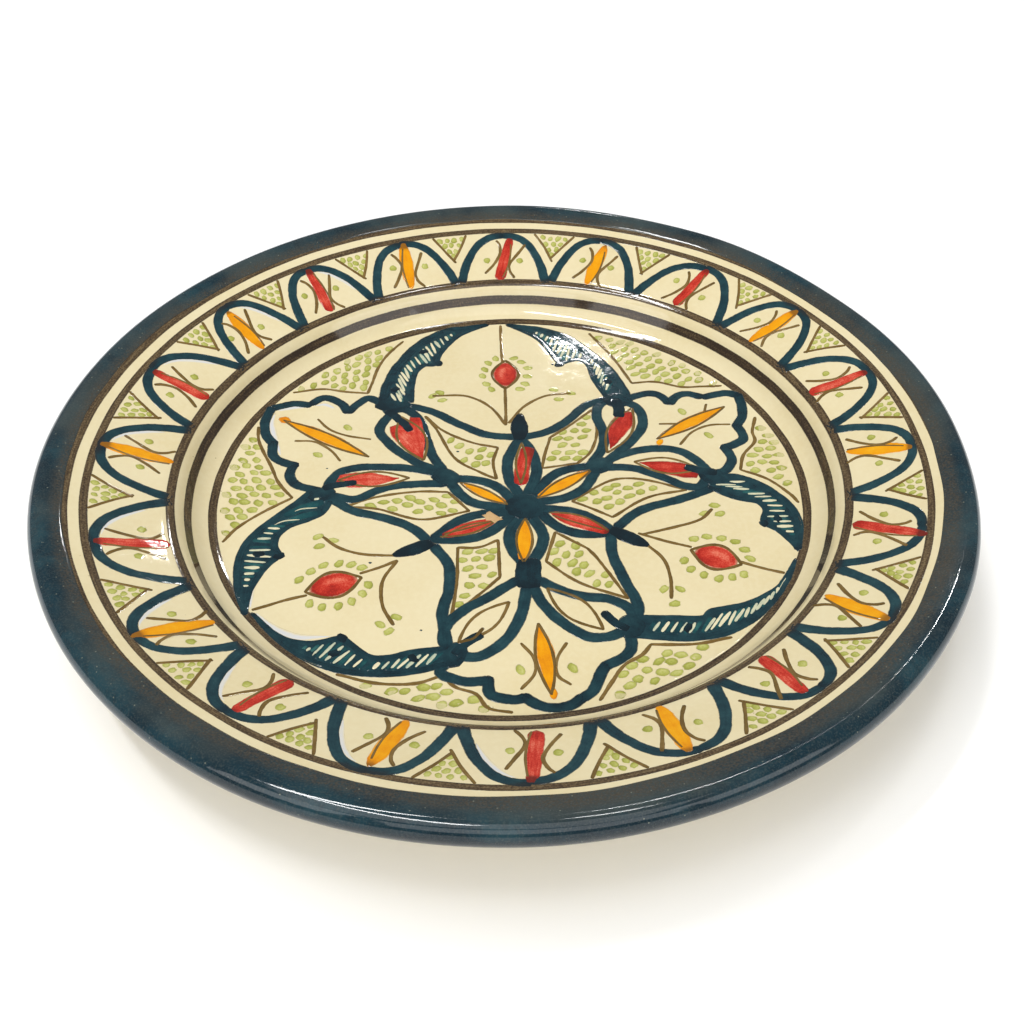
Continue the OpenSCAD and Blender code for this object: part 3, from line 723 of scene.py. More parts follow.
inner = [(p[0], p[1] - 0.4) for p in face_curve[5:-4:12]]
turn = np.linspace(1.8, -1.26, 16)
lip_inside = [(LIP_C[0] + 3.3 * math.cos(a), LIP_C[1] + 3.3 * math.sin(a)) for a in turn]
under_side = [(p[0], p[1] + 0.35) for p in back_curve[6::8]]
floor_under = [(76, 5.45), (66.4, 5.45), (66, 6.0), (0.6, 6.0)]
solid("thrown_body", inner + lip_inside + under_side + floor_under, clay, "clay_body")

foot_outline = [
    (77.5, 5.5), (75.4, 5.2), (74.6, 4.2), (73.9, 2.4), (73.4, 1.1), (72.9, 0.35), (72.2, 0.02), (70.2, 0.0),
    (68.3, 0.02), (67.6, 0.4), (67.2, 1.2), (66.9, 2.8), (66.6, 4.4), (65.9, 5.3), (65.4, 5.6), (70, 6.1),
    (77, 6.1),
]
solid("turned_foot", foot_outline, clay, "foot_ring")

foot_floor = [(0.5, 6.25), (20, 6.2), (45, 6.1), (60, 5.95), (64, 5.8), (66.2, 5.45)]
solid("glazed_foot_well", foot_floor + [(66.2, 6.1), (0.5, 6.8)], back_glaze, "foot_well_glaze")


# ---- Banding lines ----
BAND_COLUMNS = [0, 0.04, 0.12, 0.3, 0.45, 0.6, 0.75, 0.88, 0.96, 1]


def band(name, node, r1, r2, tone, wob=0.12):
    """A brown line between two radii, with edges that wander by about wob."""
    phase = [rng.uniform(0, 6.28) for _ in range(5)]

    def drift(a, k):
        waves = ((2, 0, 1), (5, 1 + k, 0.5), (14, 3, 0.35), (37, 4 - k, 0.3))
        return wob * sum(h * np.sin(times * a + phase[p]) for times, p, h in waves)
    start, stop = length_to(face_curve, r1), length_to(face_curve, r2)
    coat(name, face_curve, lambda a: start + drift(a, 0), lambda a: stop + drift(a, 1), BAND, brown, node,
         BAND_COLUMNS, depth=0.1, bead=0.3, tone=tone)


band("band_lip", "lip_line", 124.1, 126.6, 0.42, 0.16)
band("band_marly", "marly_line", 119.3, 121.5, 0.42)
band("band_ledge", "ledge_line", 96.9, 99.3, 0.38)
band("band_wall", "wall_line", 93.2, 95.0, 0.12)
band("band_well", "well_line", 86.7, 89.1, 0.34)

# ---- Painting on the sloping rim ----
# Angle between each two arches
VALLEYS = [
    7.4, 26.6, 44, 64, 81.6, 100, 117.6, 134.6, 150.6, 170.6, 189.6, 210.4, 227, 245, 262.6, 281.4, 300, 316,
    332, 349.6,
]
# Angle of each bud at its top and at its foot
BUDS = [
    (16.2, 17.6), (34.8, 36.4), (53.3, 54.6), (72.2, 73.6), (89.3, 91.6), (108.2, 109.8),
    (125.9, 127.3), (143, 144.4), (161.5, 161.9), (179.3, 180.1), (199.6, 200.8), (218.5, 220.1),
    (236.3, 237.4), (254.2, 255.5), (271.9, 273.2), (289.7, 290.6), (306.2, 308.6),
    (322.6, 325), (339.5, 342.3), (357.8, 360.5),
]
haze = Film("border_arch_haze", halo_paint)
arches = Film("border_arches", blue, "scallop_arches")
border_red = Film("border_red_buds", red, "scallop_buds_red")
border_yellow = Film("border_yellow_buds", yellow, "scallop_buds_yellow")
border_lines = Film("border_bud_lines", pen, "scallop_bud_lines")
border_dots = Film("border_dots", green, "scallop_dots")
frames = Film("border_frames", pen, "spandrel_frames")
frame_dots = Film("border_frame_dots", green, "spandrel_dots")
over_bands = ring_mask((119.3, 123), (95, 99.2))


def half_arch(peak, valley, top):
    """One side of an arch, from its foot near the valley to its top, given by their angles."""
    u = np.linspace(1, 0, 50)
    foot = valley + 0.5 * np.sign(top - valley)
    return even(polar(98.1 + (peak - 98.1) * (1 - u**2.5), top + (foot - top) * u), 0.9)


for i, (top, foot) in enumerate(BUDS):
    a1 = VALLEYS[i]
    a2 = VALLEYS[(i + 1) % 20] + (360 if i == 19 else 0)
    peak = 118.7 + rng.uniform(-0.7, 0.8)
    crown = (a1 + a2) / 2 + jitter(0.7)
    left = half_arch(peak + jitter(0.35), a1, crown)
    right = half_arch(peak + jitter(0.35), a2, crown)
    arches.stroke(left, 3.0, BLUE, 0.5, leg_ends, under=over_bands)
    arches.stroke(right, 3.0, BLUE + 0.002, 0.5, leg_ends, under=over_bands)
    if 110 < crown < 290:
        inner_side = left[8:-4] + normals(left)[8:-4] * 1.8
        haze.stroke(inner_side, 1.9, HAZE, 0.4, pointed_ends, pool=0)
    long = 118.9 + rng.uniform(-1.6, 1.7)
    start = 98.8 + rng.uniform(-0.5, 1.2)
    line = bow(polar(start, foot), polar(long, top), jitter(0.3))
    over_arch = end_mask(line, max(long - 116.8, 0.3))
    if i % 2 == 0:
        border_red.stroke(line, 4.3, COLOUR, 0.56, blunt_ends, under=over_arch)
    else:
        border_yellow.stroke(line, 4.9, COLOUR, 0.5, fat_ends, under=over_arch)
    def from_bud(r, side):
        """A point at radius r, so many degrees to the side of the bud."""
        return polar(r, foot + (top - foot) * (r - 99) / 19 + side)
    hand = rng.choice([-1, 1])
    edge_line = bow(from_bud(100, 0.6 * hand), from_bud(long - 3, 0.4 * hand), 0.95 * hand)
    border_lines.stroke(edge_line, 0.7, OUTLINE, 0.42, wobble=0.12)
    curls = (
        [(114.2, -2.9), (110.5, -2.2), (105.6, -1.25), (102.4, -1.6), (99.6, -2.8)],
        [(115.3, 2.5), (113.3, 1.7), (109.5, 1.1), (105, 1.9), (101.2, 3.3)],
    )
    for curl in curls:
        nudge, slip = jitter(0.25), jitter(0.9)
        curl = [from_bud(r + slip, b + nudge * (abs(b) > 1.3)) for r, b in curl]
        border_lines.stroke(curl, 1.1, OUTLINE, 0.4, wobble=0.15)
    for s in (-1, 1):
        spot = from_bud(rng.uniform(105.7, 108) + 1.6 * (s > 0), s * rng.uniform(2.8, 3.3))
        border_dots.dot(spot, top + jitter(25), 1.3, 1.25, DOTS, 0.42, ragged=0.14)
    for s in (-1, 1):
        reach = rng.uniform(2.8, 3.5)
        leg = ((119.2, reach), (113.5, 1.5), (rng.uniform(107.2, 108.8), -0.2))
        leg = [polar(r, a1 + b * s) for r, b in leg]
        frames.stroke(leg, 1.0, INK, 0.4, wobble=0.12)
    rows = ((117.6, (-2, -0.7, 0.65, 1.95)), (115.2, (-1.25, 0, 1.25)), (112.8, (-0.6, 0.6)), (110.6, (0,)))
    for r, spread in rows:
        for b in spread:
            spot = polar(r + jitter(0.4), a1 + b + jitter(0.15))
            size = rng.uniform(0.88, 1.15)
            frame_dots.dot(spot, a1 + jitter(50), 1.2 * size, 0.95 * size, DOTS, 0.46, ragged=0.14)

# ---- Star in the middle of the well ----
# Each petal: where it starts and ends, and how far its two lines bow out
PETALS = [
    ((4, -6), (3.6, 23.5), 4.4, 4.4), ((7, -7), (27, 9.5), 5.3, 5.3), ((8, -10), (30, -20.5), 3.3, 4.9),
    ((4.6, -11), (4.6, -34), 4.8, 4.8), ((1, -11.5), (-22, -22.5), 4.6, 4.1),
    ((2, -8.5), (-18.5, 4), 5.2, 4.5),
]
petals = Film("star_outline", blue, "star_petals")
blots = Film("blue_blots", pools)
blots.dot((4.6, -8.8), -20, 6.8, 6, BLOT, 0.45, n=24, ragged=0.08)
for a, b, left, right in PETALS:
    petals.stroke(bow(a, b, left + 0.1), 3.7, BLUE, 0.42)
    petals.stroke(bow(a, b, -right - 0.1), 3.7, BLUE, 0.42)

bulbs = Film("star_tips", pools, "star_bulbs")
tip_ends = swell(0.6, 0.05, lambda t: 0.12 + 0.86 * t)
for a, b, w in (
    ((3.4, 22), (3.6, 36), 5.6), ((28.5, -19), (39.5, -26.5), 5), ((-22, -23.5), (-33.5, -29), 5),
):
    bulbs.stroke(bow(a, b, 0.2), w, OVER, 0.12, tip_ends)

star_red = Film("star_red_buds", red, "star_buds_red")
star_yellow = Film("star_yellow_buds", yellow, "star_buds_yellow")
star_lines = Film("star_bud_pen", pen, "star_bud_lines")
line = bow((3.2, 1.5), (6.2, 18.5), 0.4)
star_red.stroke(line, 4.8, COLOUR, 0.4, under=lambda g: np.clip((g[..., 0] - 5.9) * 1.5, 0, 0.75))
for a, b, w in (((12, -11.8), (29, -20.6), 5.6), ((-3.8, -14.2), (-20.2, -21.2), 5.2)):
    line = bow(a, b, 0.3)
    star_red.stroke(line, w, COLOUR, 0.5, fat_ends, under=end_mask(line, 1.6))
for a, b, w in (
    ((8, -4.8), (24.4, 7.2), 4.4), ((4.1, -14.6), (3.2, -32), 4.5), ((-1, -7), (-14.6, 2.2), 3.7),
):
    star_yellow.stroke(bow(a, b, 0.2), w, COLOUR, 0.5, fat_ends)
for a, b, h in (
    ((3.4, 1.5), (4.0, 21), 1.7), ((3.4, 1.5), (4.0, 21), -1.5),
    ((8.2, -5.2), (24.6, 7.4), 2.1), ((8.2, -5.2), (24.8, 7), -1.8),
    ((11.6, -11.6), (28.3, -19.6), 2.5), ((12.6, -12.8), (26.8, -19.2), -0.3), ((4.4, -14), (3.6, -32), -2.2),
    ((4.4, -14), (4, -32), 2.2), ((-3.4, -14), (-20.2, -21.4), 2.4), ((-4.4, -15.2), (-19.6, -21.8), -1.8),
    ((-5, -14.9), (-19, -20.2), 0.3), ((-0.6, -7.8), (-15, 2.4), 1.8), ((-0.8, -7.6), (-14.6, 2.2), -1.6),
):
    star_lines.stroke(bow(a, b, h), 0.85, OUTLINE, 0.3, wobble=0.15)

# ---- Heart loops between the leaves ----
LOOPS = {
    "left": ((-19.5, 5), [
        [(-20, 7), (-28, 11.5), (-36, 19), (-41, 27), (-40.3, 32), (-37, 38)],
        [(-20, 7), (-24.5, 17), (-27.5, 29), (-30.5, 36), (-35, 39.5)],
        [(-20, 6), (-30, 9), (-43, 10), (-51, 8.3), (-54, 4), (-55, 0)],
        [(-19, 2), (-32, 1.5), (-39, -0.5), (-46, -4.8), (-54, -3)],
    ]),
    "right": ((27.5, 9.5), [
        [(25.5, 11), (29, 17.5), (30, 25), (28.4, 33), (29.2, 39.5), (33, 42.5)],
        [(29, 10.5), (36, 18), (41.5, 26), (43, 33), (41, 39), (37, 42)],
        [(29, 11), (37, 15.5), (47, 17.3), (54, 15.2), (58.5, 10), (61, 5)],
        [(28, 8.5), (37, 8.2), (45, 4.5), (52, -0.2), (57, -1), (60, 3)],
    ]),
    "bottom": ((5, -36.5), [
        [(2, -39), (-6, -45.5), (-13, -50.5), (-17, -55.5), (-18, -61), (-15.5, -65.5)],
        [(4.5, -41), (3.2, -50), (0.5, -58), (-4, -64), (-9, -67), (-14, -66.5)],
        [(7.5, -39), (13, -43), (20, -45.8), (27, -47), (32, -50.5), (33, -55)],
        [(5.8, -41), (9, -49), (14, -55.5), (20, -60.3), (26, -60.5), (31, -58)],
    ]),
}
for side, (knot, lines) in LOOPS.items():
    loops = Film("heart_" + side, blue, "heart_loops_" + side)
    if side == "bottom":
        blots.stroke(bow((5, -31), (5, -42), 0), 7.4, BLOT, 0.3)
    else:
        blots.dot(knot, 30 if side == "right" else -30, 4.8, 3.8, BLOT, 0.45, n=20, ragged=0.05)
    for points in lines:
        loops.stroke(points, 3.5, BLUE, 0.45)

hooks = Film("heart_hook_strokes", pools, "heart_hooks")
for a, b, w in (
    ((-39.5, 38), (-31.4, 27.6), 3.2), ((-56, 0.2), (-46.5, 2.6), 3),
    ((34.6, 43), (35.6, 33.5), 4), ((63, 5.5), (54, 8.4), 3.6),
    ((-15, -66), (-8, -59.2), 3), ((31, -58), (25, -51.8), 2.8),
):
    hooks.stroke(bow(a, b, 0.6), w, OVER, 0.3)

heart_red = Film("heart_red_buds", red, "heart_buds_red")
heart_lines = Film("heart_bud_pen", pen, "heart_bud_lines")
heart_ends = swell(0.75, 0.03, lambda t: t**1.25 * 0.86)
for a, b, w, tone in (
    ((-26.8, 13.8), (-36.6, 30.5), 6.4, 0.68), ((-26.8, 13.8), (-30.4, 35), 5.6, 0.64),
    ((-33.6, 4.6), (-52.6, 4), 7.4, 0.7),
    ((31.5, 17.5), (38.6, 36.4), 7, 0.34), ((40, 10.5), (57.5, 4.8), 7, 0.36),
):
    heart_red.stroke(bow(a, b, 0.3), w, COLOUR, tone, heart_ends)
for a, b, h in (
    ((-26.5, 13), (-35, 35), 4.4), ((-30.5, 4.6), (-52, 4), 3.4),
    ((30.5, 15.5), (40, 38), 3.8), ((38.5, 11), (58, 7), 3.6),
    ((-0.5, -47.5), (-14, -62), 3.2), ((10, -42.5), (24.5, -58), 3.6),
):
    for s in (-1, 1):
        heart_lines.stroke(bow(a, b, s * h), 0.95, OUTLINE, 0.36, wobble=0.15)
heart_lines.stroke([(-14, -62), (-10, -60.5), (-7.5, -57)], 1.2, OVER + 0.003, 0.1)

# ---- The three big leaves ----
# Each leaf: two crescents, and its brush lines. Each crescent: its outer edge, its inner edge, the direction
# and the length of the lines that hatch it, and the share of it, from start to end, that they cover
LEAVES = {
    "top": ([
        ([(-42.8, 43), (-42.2, 51), (-40, 60.5), (-36.8, 68), (-33, 75), (-28, 80.3), (-21.8, 84.2),
          (-7, 86.8)],
         [(-31, 42), (-31.2, 50), (-30.6, 58), (-27.8, 62.6), (-24, 63), (-22.8, 69), (-18, 78), (-13, 82.6),
          (-6.5, 86.3)],
         (0.38, -0.92), 8, (0.06, 0.93)),
        ([(-0.5, 86.8), (10.5, 85), (19, 81.3), (24, 76.8), (29.5, 69.3), (34.3, 61.8), (38, 53), (40.5, 44)],
         [(-1, 86.3), (5, 82), (9.5, 77.8), (13, 71.8), (16.8, 63), (20, 64.2), (23.6, 65), (26.4, 61.5),
          (28, 53), (31.6, 43.5)],
         (0.26, 0.96), 9, (0.12, 0.94)),
    ], [[(-33, 40.5), (-25, 37.5), (-15, 30), (-7, 25.2), (1, 24), (9, 25), (17, 30), (25, 39.5), (32, 43)]]),
    "left": ([
        ([(-60, 0), (-64.5, -6), (-69.3, -11.8), (-73.6, -17.4), (-76.6, -23), (-77.8, -30), (-77.2, -37),
          (-75.4, -44.5), (-71.8, -53)],
         [(-52.5, -5.5), (-54.5, -11), (-58, -13.8), (-63.6, -16.8), (-66.4, -20.8), (-66.4, -25),
          (-65, -28.6), (-67.5, -32.5), (-69.5, -37), (-71, -42.5), (-71.3, -52)],
         (1, -0.05), 9, (0.34, 0.8)),
        ([(-70.4, -51), (-64.3, -59), (-59, -64.3), (-51.8, -69.3), (-44.3, -72.2), (-35.5, -73.5),
          (-25.5, -72.8), (-16, -70)],
         [(-69.8, -50.5), (-64, -56.4), (-58.6, -60), (-51.8, -61), (-45, -59.3), (-41.5, -62), (-37, -65.8),
          (-31.8, -66), (-25.5, -64.2), (-16, -63)],
         (0.6, 0.8), 9, (0.2, 0.95)),
    ], [[(-54, -4), (-46, -10), (-36, -13.5), (-28, -18), (-23, -24)],
        [(-22, -25), (-17.5, -33), (-17, -42), (-18.5, -52), (-16.5, -65)]]),
    "right": ([
        ([(62.5, 4), (69, 4.4), (75, 1.4), (79.3, -3), (83, -8.3), (84.6, -14), (84.6, -20), (82, -29)],
         [(59, -1.5), (64.2, -5.5), (68.4, -7.6), (73, -9), (74.5, -12.6), (73, -17.4), (76.6, -21),
          (79.2, -25), (81.2, -30)],
         (1, -0.03), 6, (0.12, 0.84)),
        ([(80.4, -32.5), (77, -41), (69.5, -52), (59, -60), (47, -62.6), (31, -61)],
         [(80, -32.5), (73.5, -42.5), (64, -48.5), (54, -51), (51, -53.5), (42, -53.2), (32, -53)],
         (0.5, 0.85), 7, (0.2, 0.92)),
    ], [[(61, -1.5), (52, -6), (42, -9.5), (36, -13), (31, -18.5)],
        [(29, -20.5), (29, -30), (31.5, -39.5), (34.3, -49), (33.5, -56)]]),
}
# Widths of the outer and the inner outline. Between them lies a strip of dark hatching with pale gaps
HEAVY, LIGHT = {"top": 3.7, "left": 2.3, "right": 2.7}, 1.9
HATCH_GAP = 1.2
hatching = Film("leaf_hatching", teal)
gaps = Film("leaf_hatching_gaps", cream_gaps)
for side, (crescents, lines) in LEAVES.items():
    leaf = Film("leaf_outline_" + side, blue, "leaf_" + side)
    for outer, inner_edge, way, length, (first, last) in crescents:
        one, two = even(smooth(outer), count=80), even(smooth(inner_edge), count=80)
        across = two - one
        wide = np.maximum(np.hypot(*across.T), 0.4)[:, None]
        across = across / wide
        t = np.linspace(0, 1, 9)[None, :, None]
        grid = one[:, None] * (1 - t) + two[:, None] * t
        if np.cross(one[40] - one[39], two[40] - one[40]) < 0:
            grid = grid[:, ::-1]
        leaf.sheet(grid, BLUE, 0.4 + 0.08 * np.sin(np.linspace(0, 60, 81))[:, None])

        def outline_ends(s, n, w):
            """Half the width of an outline, which narrows where the leaf comes to a point."""
            leaf_half = np.interp(s / n, np.linspace(0, 1, 81), wide[:, 0] / 2 + 0.3)
            return np.minimum(round_ends(s, n, w), leaf_half)

        for edge, way_in, w in ((one, 1, HEAVY[side]), (two, -1, LIGHT)):
            line = edge + way_in * across * np.minimum(w / 2 - 0.15, wide / 2)
            leaf.stroke(line, w, BLUE + 0.003, 0.38, outline_ends)
        near, far = np.minimum(HEAVY[side] / wide, 0.4), 1 - np.minimum(LIGHT / wide, 0.28)
        lane = np.concatenate([one + (two - one) * near, (one + (two - one) * far)[::-1]])
        way = np.array(way) / np.hypot(*way)
        middle = even(one + (two - one) * (near + far) / 2, HATCH_GAP)
        for k in range(int(first * len(middle)), int(last * len(middle))):
            tilt = jitter(0.1)
            d = np.array([way[0] - way[1] * tilt, way[1] + way[0] * tilt])
            run = middle[k] + d * np.linspace(-0.5, 0.5, 17)[:, None] * length * rng.uniform(0.8, 1.1)
            kept = np.array([p for p in run if inside(p, lane)])
            if len(kept) > 4 and rng.random() > 0.05:
                if k % 2:
                    w, tone = rng.uniform(1.0, 1.4), rng.uniform(0.3, 0.7)
                    hatching.stroke(kept, w, HATCH, tone, wobble=0.12)
                else:
                    w, tone = rng.uniform(0.8, 1.35), rng.uniform(0.4, 1.0)
                    gaps.stroke(kept, w, OVER, tone, slit_ends, wobble=0.2, pool=0.15)
    for points in lines:
        leaf.stroke(points, 3.45, BLUE, 0.45)
for points, w in (
    ([(-55.5, -6), (-61, -8.2), (-66, -12)], 3.2), ([(-56, -10.4), (-61, -12.2), (-66.5, -15.4)], 2.8),
):
    hatching.stroke(points, w, HATCH, 0.5)
for points, w in (
    ([(-64, -10.4), (-61.5, -8.9), (-56.6, -8.4)], 0.6), ([(-69, -16), (-66, -14.1), (-61, -13.5)], 0.6),
    ([(-58.8, -5.2), (-57.4, -4.4), (-56.4, -5)], 1.3), ([(-39, 47.7), (-37.9, 45.2), (-36.7, 42.9)], 1.2),
    ([(-36.7, 47.3), (-36, 46), (-35.3, 44.7)], 0.7), ([(66, 1.2), (68.5, 0.9), (71.5, 1.1)], 1.1),
):
    gaps.stroke(points, w, OVER, 0.7, pointed_ends)
# Where leaves and loops meet, the strokes run together: middle, angle, half length and half width
KNOTS = [
    ((-37.5, 41), -12, 6.4, 4.2), ((35.5, 42.5), -5, 5.4, 4), ((61.6, 3.2), -40, 4.6, 3.8),
    ((-56.5, -2.6), 20, 4.6, 3.4), ((-14.8, -66.2), 70, 4.8, 3.2), ((32.2, -57), 80, 5, 3.8),
]
for c, a, rx, ry in KNOTS:
    blots.dot(c, a, rx, ry, BLOT, 0.35, n=22, ragged=0.07)
for c in ((-23.6, 64), (17.4, 62.6), (-65.6, -28.8), (-44.8, -60), (73.8, -17.6)):
    blots.dot(c, rng.uniform(0, 180), 1.8, 1.5, BLOT, 0.2, ragged=0.12)
for c in (
    (-46.3, -65.3), (-25.6, -67.3), (-71.5, -28), (-37.5, 49.6), (-29, 71), (78, -15.5), (47, -57.8),
    (33, 52.5),
):
    blots.dot(c, rng.uniform(0, 180), 2.1, 1.4, OVER + 0.003, 0.18, ragged=0.15)
for c, size in (
    ((-16, 17), 0.5), ((-39.6, -31.8), 0.5), ((-56, 9.5), 0.35), ((-24, -57.5), 0.4), ((15, 62.8), 0.6),
):
    blots.dot(c, 0, size, size * 0.8, OVER, 0.5, n=9, ragged=0.2)
leaf_haze = Film("leaf_haze", halo_paint)
for points, w in (
    ([(-75.6, 37), (-75.9, 31), (-73.3, 22), (-71, 16)], 2.4), ([(-75, 38.4), (-70, 40), (-66, 40.2)], 2.1),
    ([(-63, 41), (-60, 41.6), (-56.5, 39.6)], 1.8),
    ([(-69, -33.4), (-71, -38), (-71.6, -43), (-70.6, -49)], 2.6),
    ([(-69, -50.8), (-63, -56.6), (-56.5, -59.6), (-48, -59.4)], 2.6),
):
    leaf_haze.stroke(points, w, HAZE, 0.35, pointed_ends, pool=0)

veins = Film("leaf_vein_pen", pen, "leaf_veins")
for points in (
    [(-2.6, 86), (-2.4, 75), (-2, 64)], [(-1.2, 50.5), (-1, 40), (-1, 30)],
    [(-1, 30), (-6, 39.5), (-14, 45.5), (-25, 45.8)], [(0, 31), (5, 39.5), (12, 45), (20.5, 46.5)],
    [(-32, -31), (-37, -33.8), (-42, -36)], [(-56, -44.2), (-62, -46.2), (-70, -49.7)],
    [(-33, -29), (-42, -28.3), (-49, -25.5), (-54, -21)],
    [(-32, -31), (-35.5, -39), (-35, -48), (-31.5, -55.5)],
    [(37, -21), (44, -24.2), (51.5, -27)], [(64, -33), (70, -35.8), (76, -38)],
    [(38, -21.5), (48, -18.5), (55.5, -15.5), (59.5, -11)],
    [(38, -24.5), (43, -31.5), (44.3, -39), (43.7, -47)],
):
    veins.stroke(points, 1.1, INK, 0.4, wobble=0.15)
# Each berry: its middle, the way it points, its half length and its half width
BERRIES = [((-1, 57.3), 90, 7.2, 4.3), ((-49, -40.3), 20, 7.2, 4.8), ((58, -31.2), -25, 6.6, 4.8)]
berries = Film("leaf_berry_paint", red, "leaf_berries")
berry_dots = Film("berry_dot_ring", green, "berry_dots")
for c, a, rx, ry in BERRIES:
    way = np.array(polar(1.0, a))
    berries.dot(c, a, rx - 0.3, ry - 0.2, COLOUR, 0.4, n=40, ragged=0.03, rings=(0.2, 0.4, 0.6, 0.8, 0.92, 1))
    ends = (np.array(c) - way * (rx + 0.8), np.array(c) + way * (rx + 0.8))
    for s in (-1, 1):
        veins.stroke(bow(*ends, s * ry * 1.04), 1.1, OUTLINE, 0.26, wobble=0.18)
    for t in np.arange(0, 360, 24):
        x, y = (rx + 3.0) * math.cos(math.radians(t)), (ry + 3.3) * math.sin(math.radians(t))
        if abs(x) < rx + 2.6:
            spot = np.array(c) + way * x + np.array([-way[1], way[0]]) * y + [jitter(0.4), jitter(0.4)]
            berry_dots.dot(spot, a + t * 0.3 + jitter(20), 1.7, 1.25, DOTS, 0.45, ragged=0.14)
sprigs = Film("sprig_dot_groups", green, "sprig_dots")
for c in (
    (-25, 45.8), (-22.6, 47.4), (-21.8, 43.4), (15, 48.5), (20.5, 46.4), (16.4, 43.2),
    (-55.5, -21), (-51, -22.6), (-54.6, -24.8), (-31, -52.6), (-35, -55.3), (-32.5, -57.8),
    (60.5, -9.5), (57, -13), (61.5, -13.2), (42, -43.5), (46.5, -43.5), (44.5, -49),
):
    sprigs.dot(c, rng.uniform(-40, 60), 1.75, 1.2, DOTS, 0.5, ragged=0.14)
for c in ((-51.5, 29.5), (-59.5, 16), (56, 35.8), (63, 23.5), (2.2, -71.7), (15.7, -71.2)):
    sprigs.dot(c, rng.uniform(-70, -30), 1.9, 1.25, DOTS, 0.5)

# ---- The three small leaves ----
SMALL = {
    "left": [
        [(-38, 36), (-41.5, 41.5), (-46, 44.8), (-49.5, 41.5), (-52, 37.3)],
        [(-52, 37.3), (-55, 42.4), (-60.5, 45.2), (-64.6, 42)], [(-64.6, 41.4), (-70.5, 42), (-77, 39.5)],
        [(-77, 39.8), (-78.2, 33), (-77, 26), (-74.2, 21.8)],
        [(-74.4, 23), (-73.4, 16), (-70, 12.6), (-65.4, 10.8)],
        [(-66.6, 11), (-67, 6.5), (-64.6, 2), (-57, -1)],
    ],
    "right": [
        [(38, 42.5), (42.5, 44.8), (47.3, 45.6), (50.6, 43.4), (52.3, 40)],
        [(52.3, 40), (54.6, 43.4), (58.4, 45.2), (63.4, 43.4)], [(63.4, 43.2), (70.7, 45), (75.1, 43.6)],
        [(75.1, 43.8), (75.6, 38), (75, 33), (72.3, 27.6)],
        [(72.3, 29), (73.8, 22), (70.6, 18.8), (66.5, 17.2)],
        [(67, 18), (68.6, 11.5), (66, 6.5), (62, 5)],
    ],
    "bottom": [
        [(-15, -67), (-18.5, -72), (-12, -75.3), (-6, -75)],
        [(-6, -74), (-5.5, -79.5), (0, -81.3), (3.5, -80.8)],
        [(2.6, -80.4), (8, -83.8), (14, -83.8), (18, -80.6)],
        [(17.6, -81.4), (20.6, -78.5), (22.5, -74), (24.5, -70)],
        [(23.6, -71), (30, -67), (31.5, -63), (31, -58)],
    ],
}
for side, lines in SMALL.items():
    leaf = Film("small_leaf_outline_" + side, blue, "small_leaf_" + side)
    for points in lines:
        leaf.stroke(smooth(points, 0.7), 3.35, BLUE, 0.4)
small_buds = Film("small_leaf_yellow", yellow, "small_leaf_buds")
small_veins = Film("small_leaf_pen", pen, "small_leaf_veins")
for a, b in (((-72.5, 33.6), (-43.6, 14.8)), ((46.5, 22), (70, 38)), ((7.2, -55.5), (10, -80))):
    small_buds.stroke(bow(a, b, 0.5), 4.8, COLOUR, 0.42, pointed_ends)
    for s in (-1, 1):
        small_veins.stroke(bow(a, b, 2.3 * s), 0.9, OUTLINE, 0.34, wobble=0.15)
small_buds.dot((-72, 33.6), -35, 2.2, 1.7, COLOUR + 0.003, 0.2)
small_buds.dot((47.3, 20.4), 70, 1.7, 1.1, COLOUR + 0.003, 0.35)
small_buds.dot((10.4, -79.6), 90, 1.8, 1.1, COLOUR + 0.003, 0.35)
for points in (
    [(-61.5, 34), (-57, 28.5), (-51, 25.3), (-43.7, 23.5)],
    [(-67.5, 23), (-61.5, 22.5), (-56, 18.5), (-52.3, 13)],
    [(48, 29.5), (56.5, 29.8), (62, 33), (64.3, 39.5)], [(53.5, 19), (58, 25.2), (64, 28.5), (70.5, 28.8)],
    [(2.5, -62.5), (5.7, -67.5), (5.8, -73), (2.3, -78)],
    [(14.5, -62.5), (11.8, -68), (11.7, -73.5), (15, -76.7)],
):
    small_veins.stroke(points, 0.95, INK, 0.42, wobble=0.15)

# ---- Dotted grounds ----
OUTER_FRAMES = [
    [(-36.5, 77), (-41, 70), (-44, 62), (-45.5, 53), (-46.5, 47.5), (-54, 48.5), (-62, 50), (-71, 48)],
    [(28.5, 80.5), (33, 72), (37, 63), (41, 51.5), (49, 52), (57, 49), (64, 49), (70.5, 49)],
    [(79, 32), (77, 25), (77, 20), (72.5, 13.5), (70.5, 6.5), (78, 2), (83.5, -5), (85.3, -9)],
    [(-80, 30), (-78.5, 22), (-73, 10), (-70, 3), (-65, -4), (-72, -9.5), (-79, -16.5), (-82.5, -23)],
    [(-45, -72.5), (-35, -75.5), (-25, -75.8), (-17.5, -73), (-14.5, -77), (-9, -79.5), (-6, -84),
     (0, -85.5)],
    [(58, -61.5), (48, -63.6), (36.5, -63.5), (34, -67), (29, -70.5), (25.5, -76), (22, -82)],
]
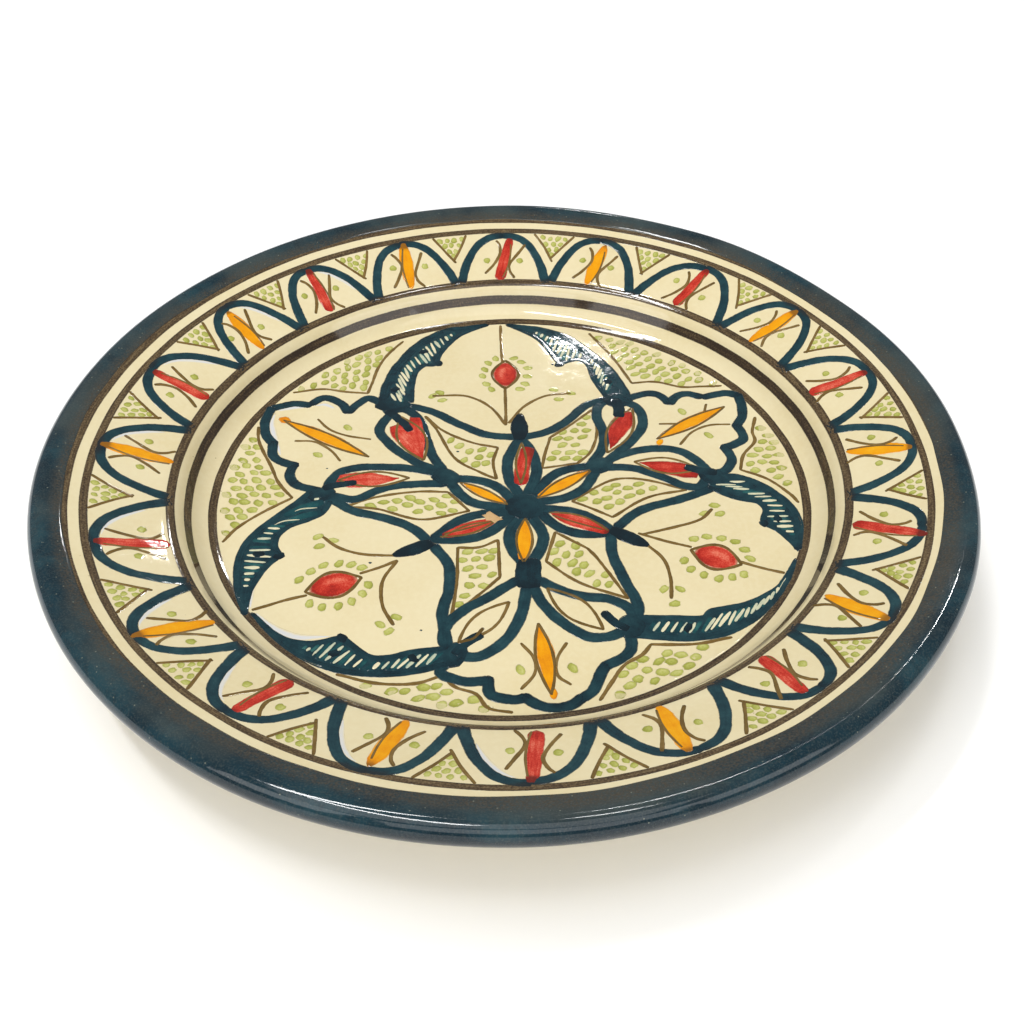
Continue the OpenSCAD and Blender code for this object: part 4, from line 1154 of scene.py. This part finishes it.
# The corner of each outer line, where the pen turned and started again
CORNERS = [4, 3, 4, 4, 3, 2]
INNER_FRAMES = [
    [(-27, 35), (-21, 27.5), (-12, 21.5), (-3.5, 18.7), (-5, 12), (-4, 3.8), (-9, 7), (-17, 14), (-23, 28)],
    [(27, 37.5), (20, 30), (13, 23.5), (11, 15), (10, 8.5), (21, 10.7), (25.5, 16.5), (28, 27)],
    [(18.5, -6.8), (24, -10), (30, -14), (41, -5.6), (53, -2.4), (44, 1.5), (36, 3.3), (29, 1.5)],
    [(-49, -8.2), (-39, -9.3), (-26, -14), (-12, -10.5), (-18.5, -2), (-28, -1.7), (-40, -4)],
    [(-15, -26), (-9, -26), (-3.5, -23), (-3, -38), (-9, -45), (-16, -52.5), (-15, -40)],
    [(13, -20), (10, -32), (19, -40.5), (32, -46.8), (25, -32), (22, -27)],
]
# Corners of each inner ground, between which its sides are smooth
TURNS = [(0, 3, 5), (0, 2, 4, 5), (0, 2, 4), (0, 3, 4), (0, 2, 3, 5), (0, 1, 3, 5)]
# Angle of the rows of dabs, and of the dabs themselves, in each ground
OUTER_DABS = [(30, 78), (-20, 40), (0, 15), (0, -30), (12, 5), (-12, 25)]
INNER_DABS = [(15, 60), (0, 25), (30, 20), (20, -10), (5, 15), (50, 60)]


def fill_dots(film, outline, gap, lean, dab):
    """Rows of dabs inside an outline, each nudged as a hand would."""
    lo, hi = outline.min(0), outline.max(0)
    c, s = math.cos(math.radians(lean)), math.sin(math.radians(lean))
    reach = int(np.hypot(*(hi - lo)) / gap) + 2
    for j in range(-reach, reach):
        for i in range(-reach, reach):
            x, y = gap * (i + 0.5 * (j % 2)), 0.84 * gap * j
            p = (lo + hi) / 2 + [x * c - y * s + jitter(0.5), x * s + y * c + jitter(0.5)]
            clear = all(inside(p + q, outline) for q in (0, (1.15, 0), (-1.15, 0), (0, 1.15), (0, -1.15)))
            if np.hypot(*p) < 85.2 and clear:
                long, wide = rng.uniform(1.55, 2.05), rng.uniform(1.1, 1.4)
                film.dot(p, dab + jitter(20), long, wide, DOTS, 0.46, ragged=0.12)


outer_pen = Film("outer_ground_pen", pen, "outer_ground_frames")
inner_pen = Film("inner_ground_pen", pen, "inner_ground_frames")
outer_green = Film("outer_ground_dabs", green, "outer_ground_dots")
inner_green = Film("inner_ground_dabs", green, "inner_ground_dots")
for points, corner, dabs in zip(OUTER_FRAMES, CORNERS, OUTER_DABS):
    q = np.array(points, float)
    for part in (points[: corner + 1], points[corner:]):
        outer_pen.stroke(part, 1.1, INK, 0.4, wobble=0.2)
    back = q[::-1] * (96 / np.hypot(q[::-1, 0], q[::-1, 1]))[:, None]
    fill_dots(outer_green, np.concatenate([q, back]), 3.9, *dabs)
for points, turns, dabs in zip(INNER_FRAMES, TURNS, INNER_DABS):
    loop = points + [points[0]]
    for a, b in zip(turns, turns[1:] + (len(points),)):
        inner_pen.stroke(loop[a: b + 1], 1.05, INK, 0.38, wobble=0.2)
    fill_dots(inner_green, np.array(points, float), 4.0, *dabs)

# ---- A chip in the painting, down to the clay ----
chip = Film("glaze_chip", make_clay("chipped_clay", 0))
chip.dot((-5.2, -13.4), -35, 2.9, 1.9, 0.09, 0.5, n=14, ragged=0.28)

for film in films:
    film.make()
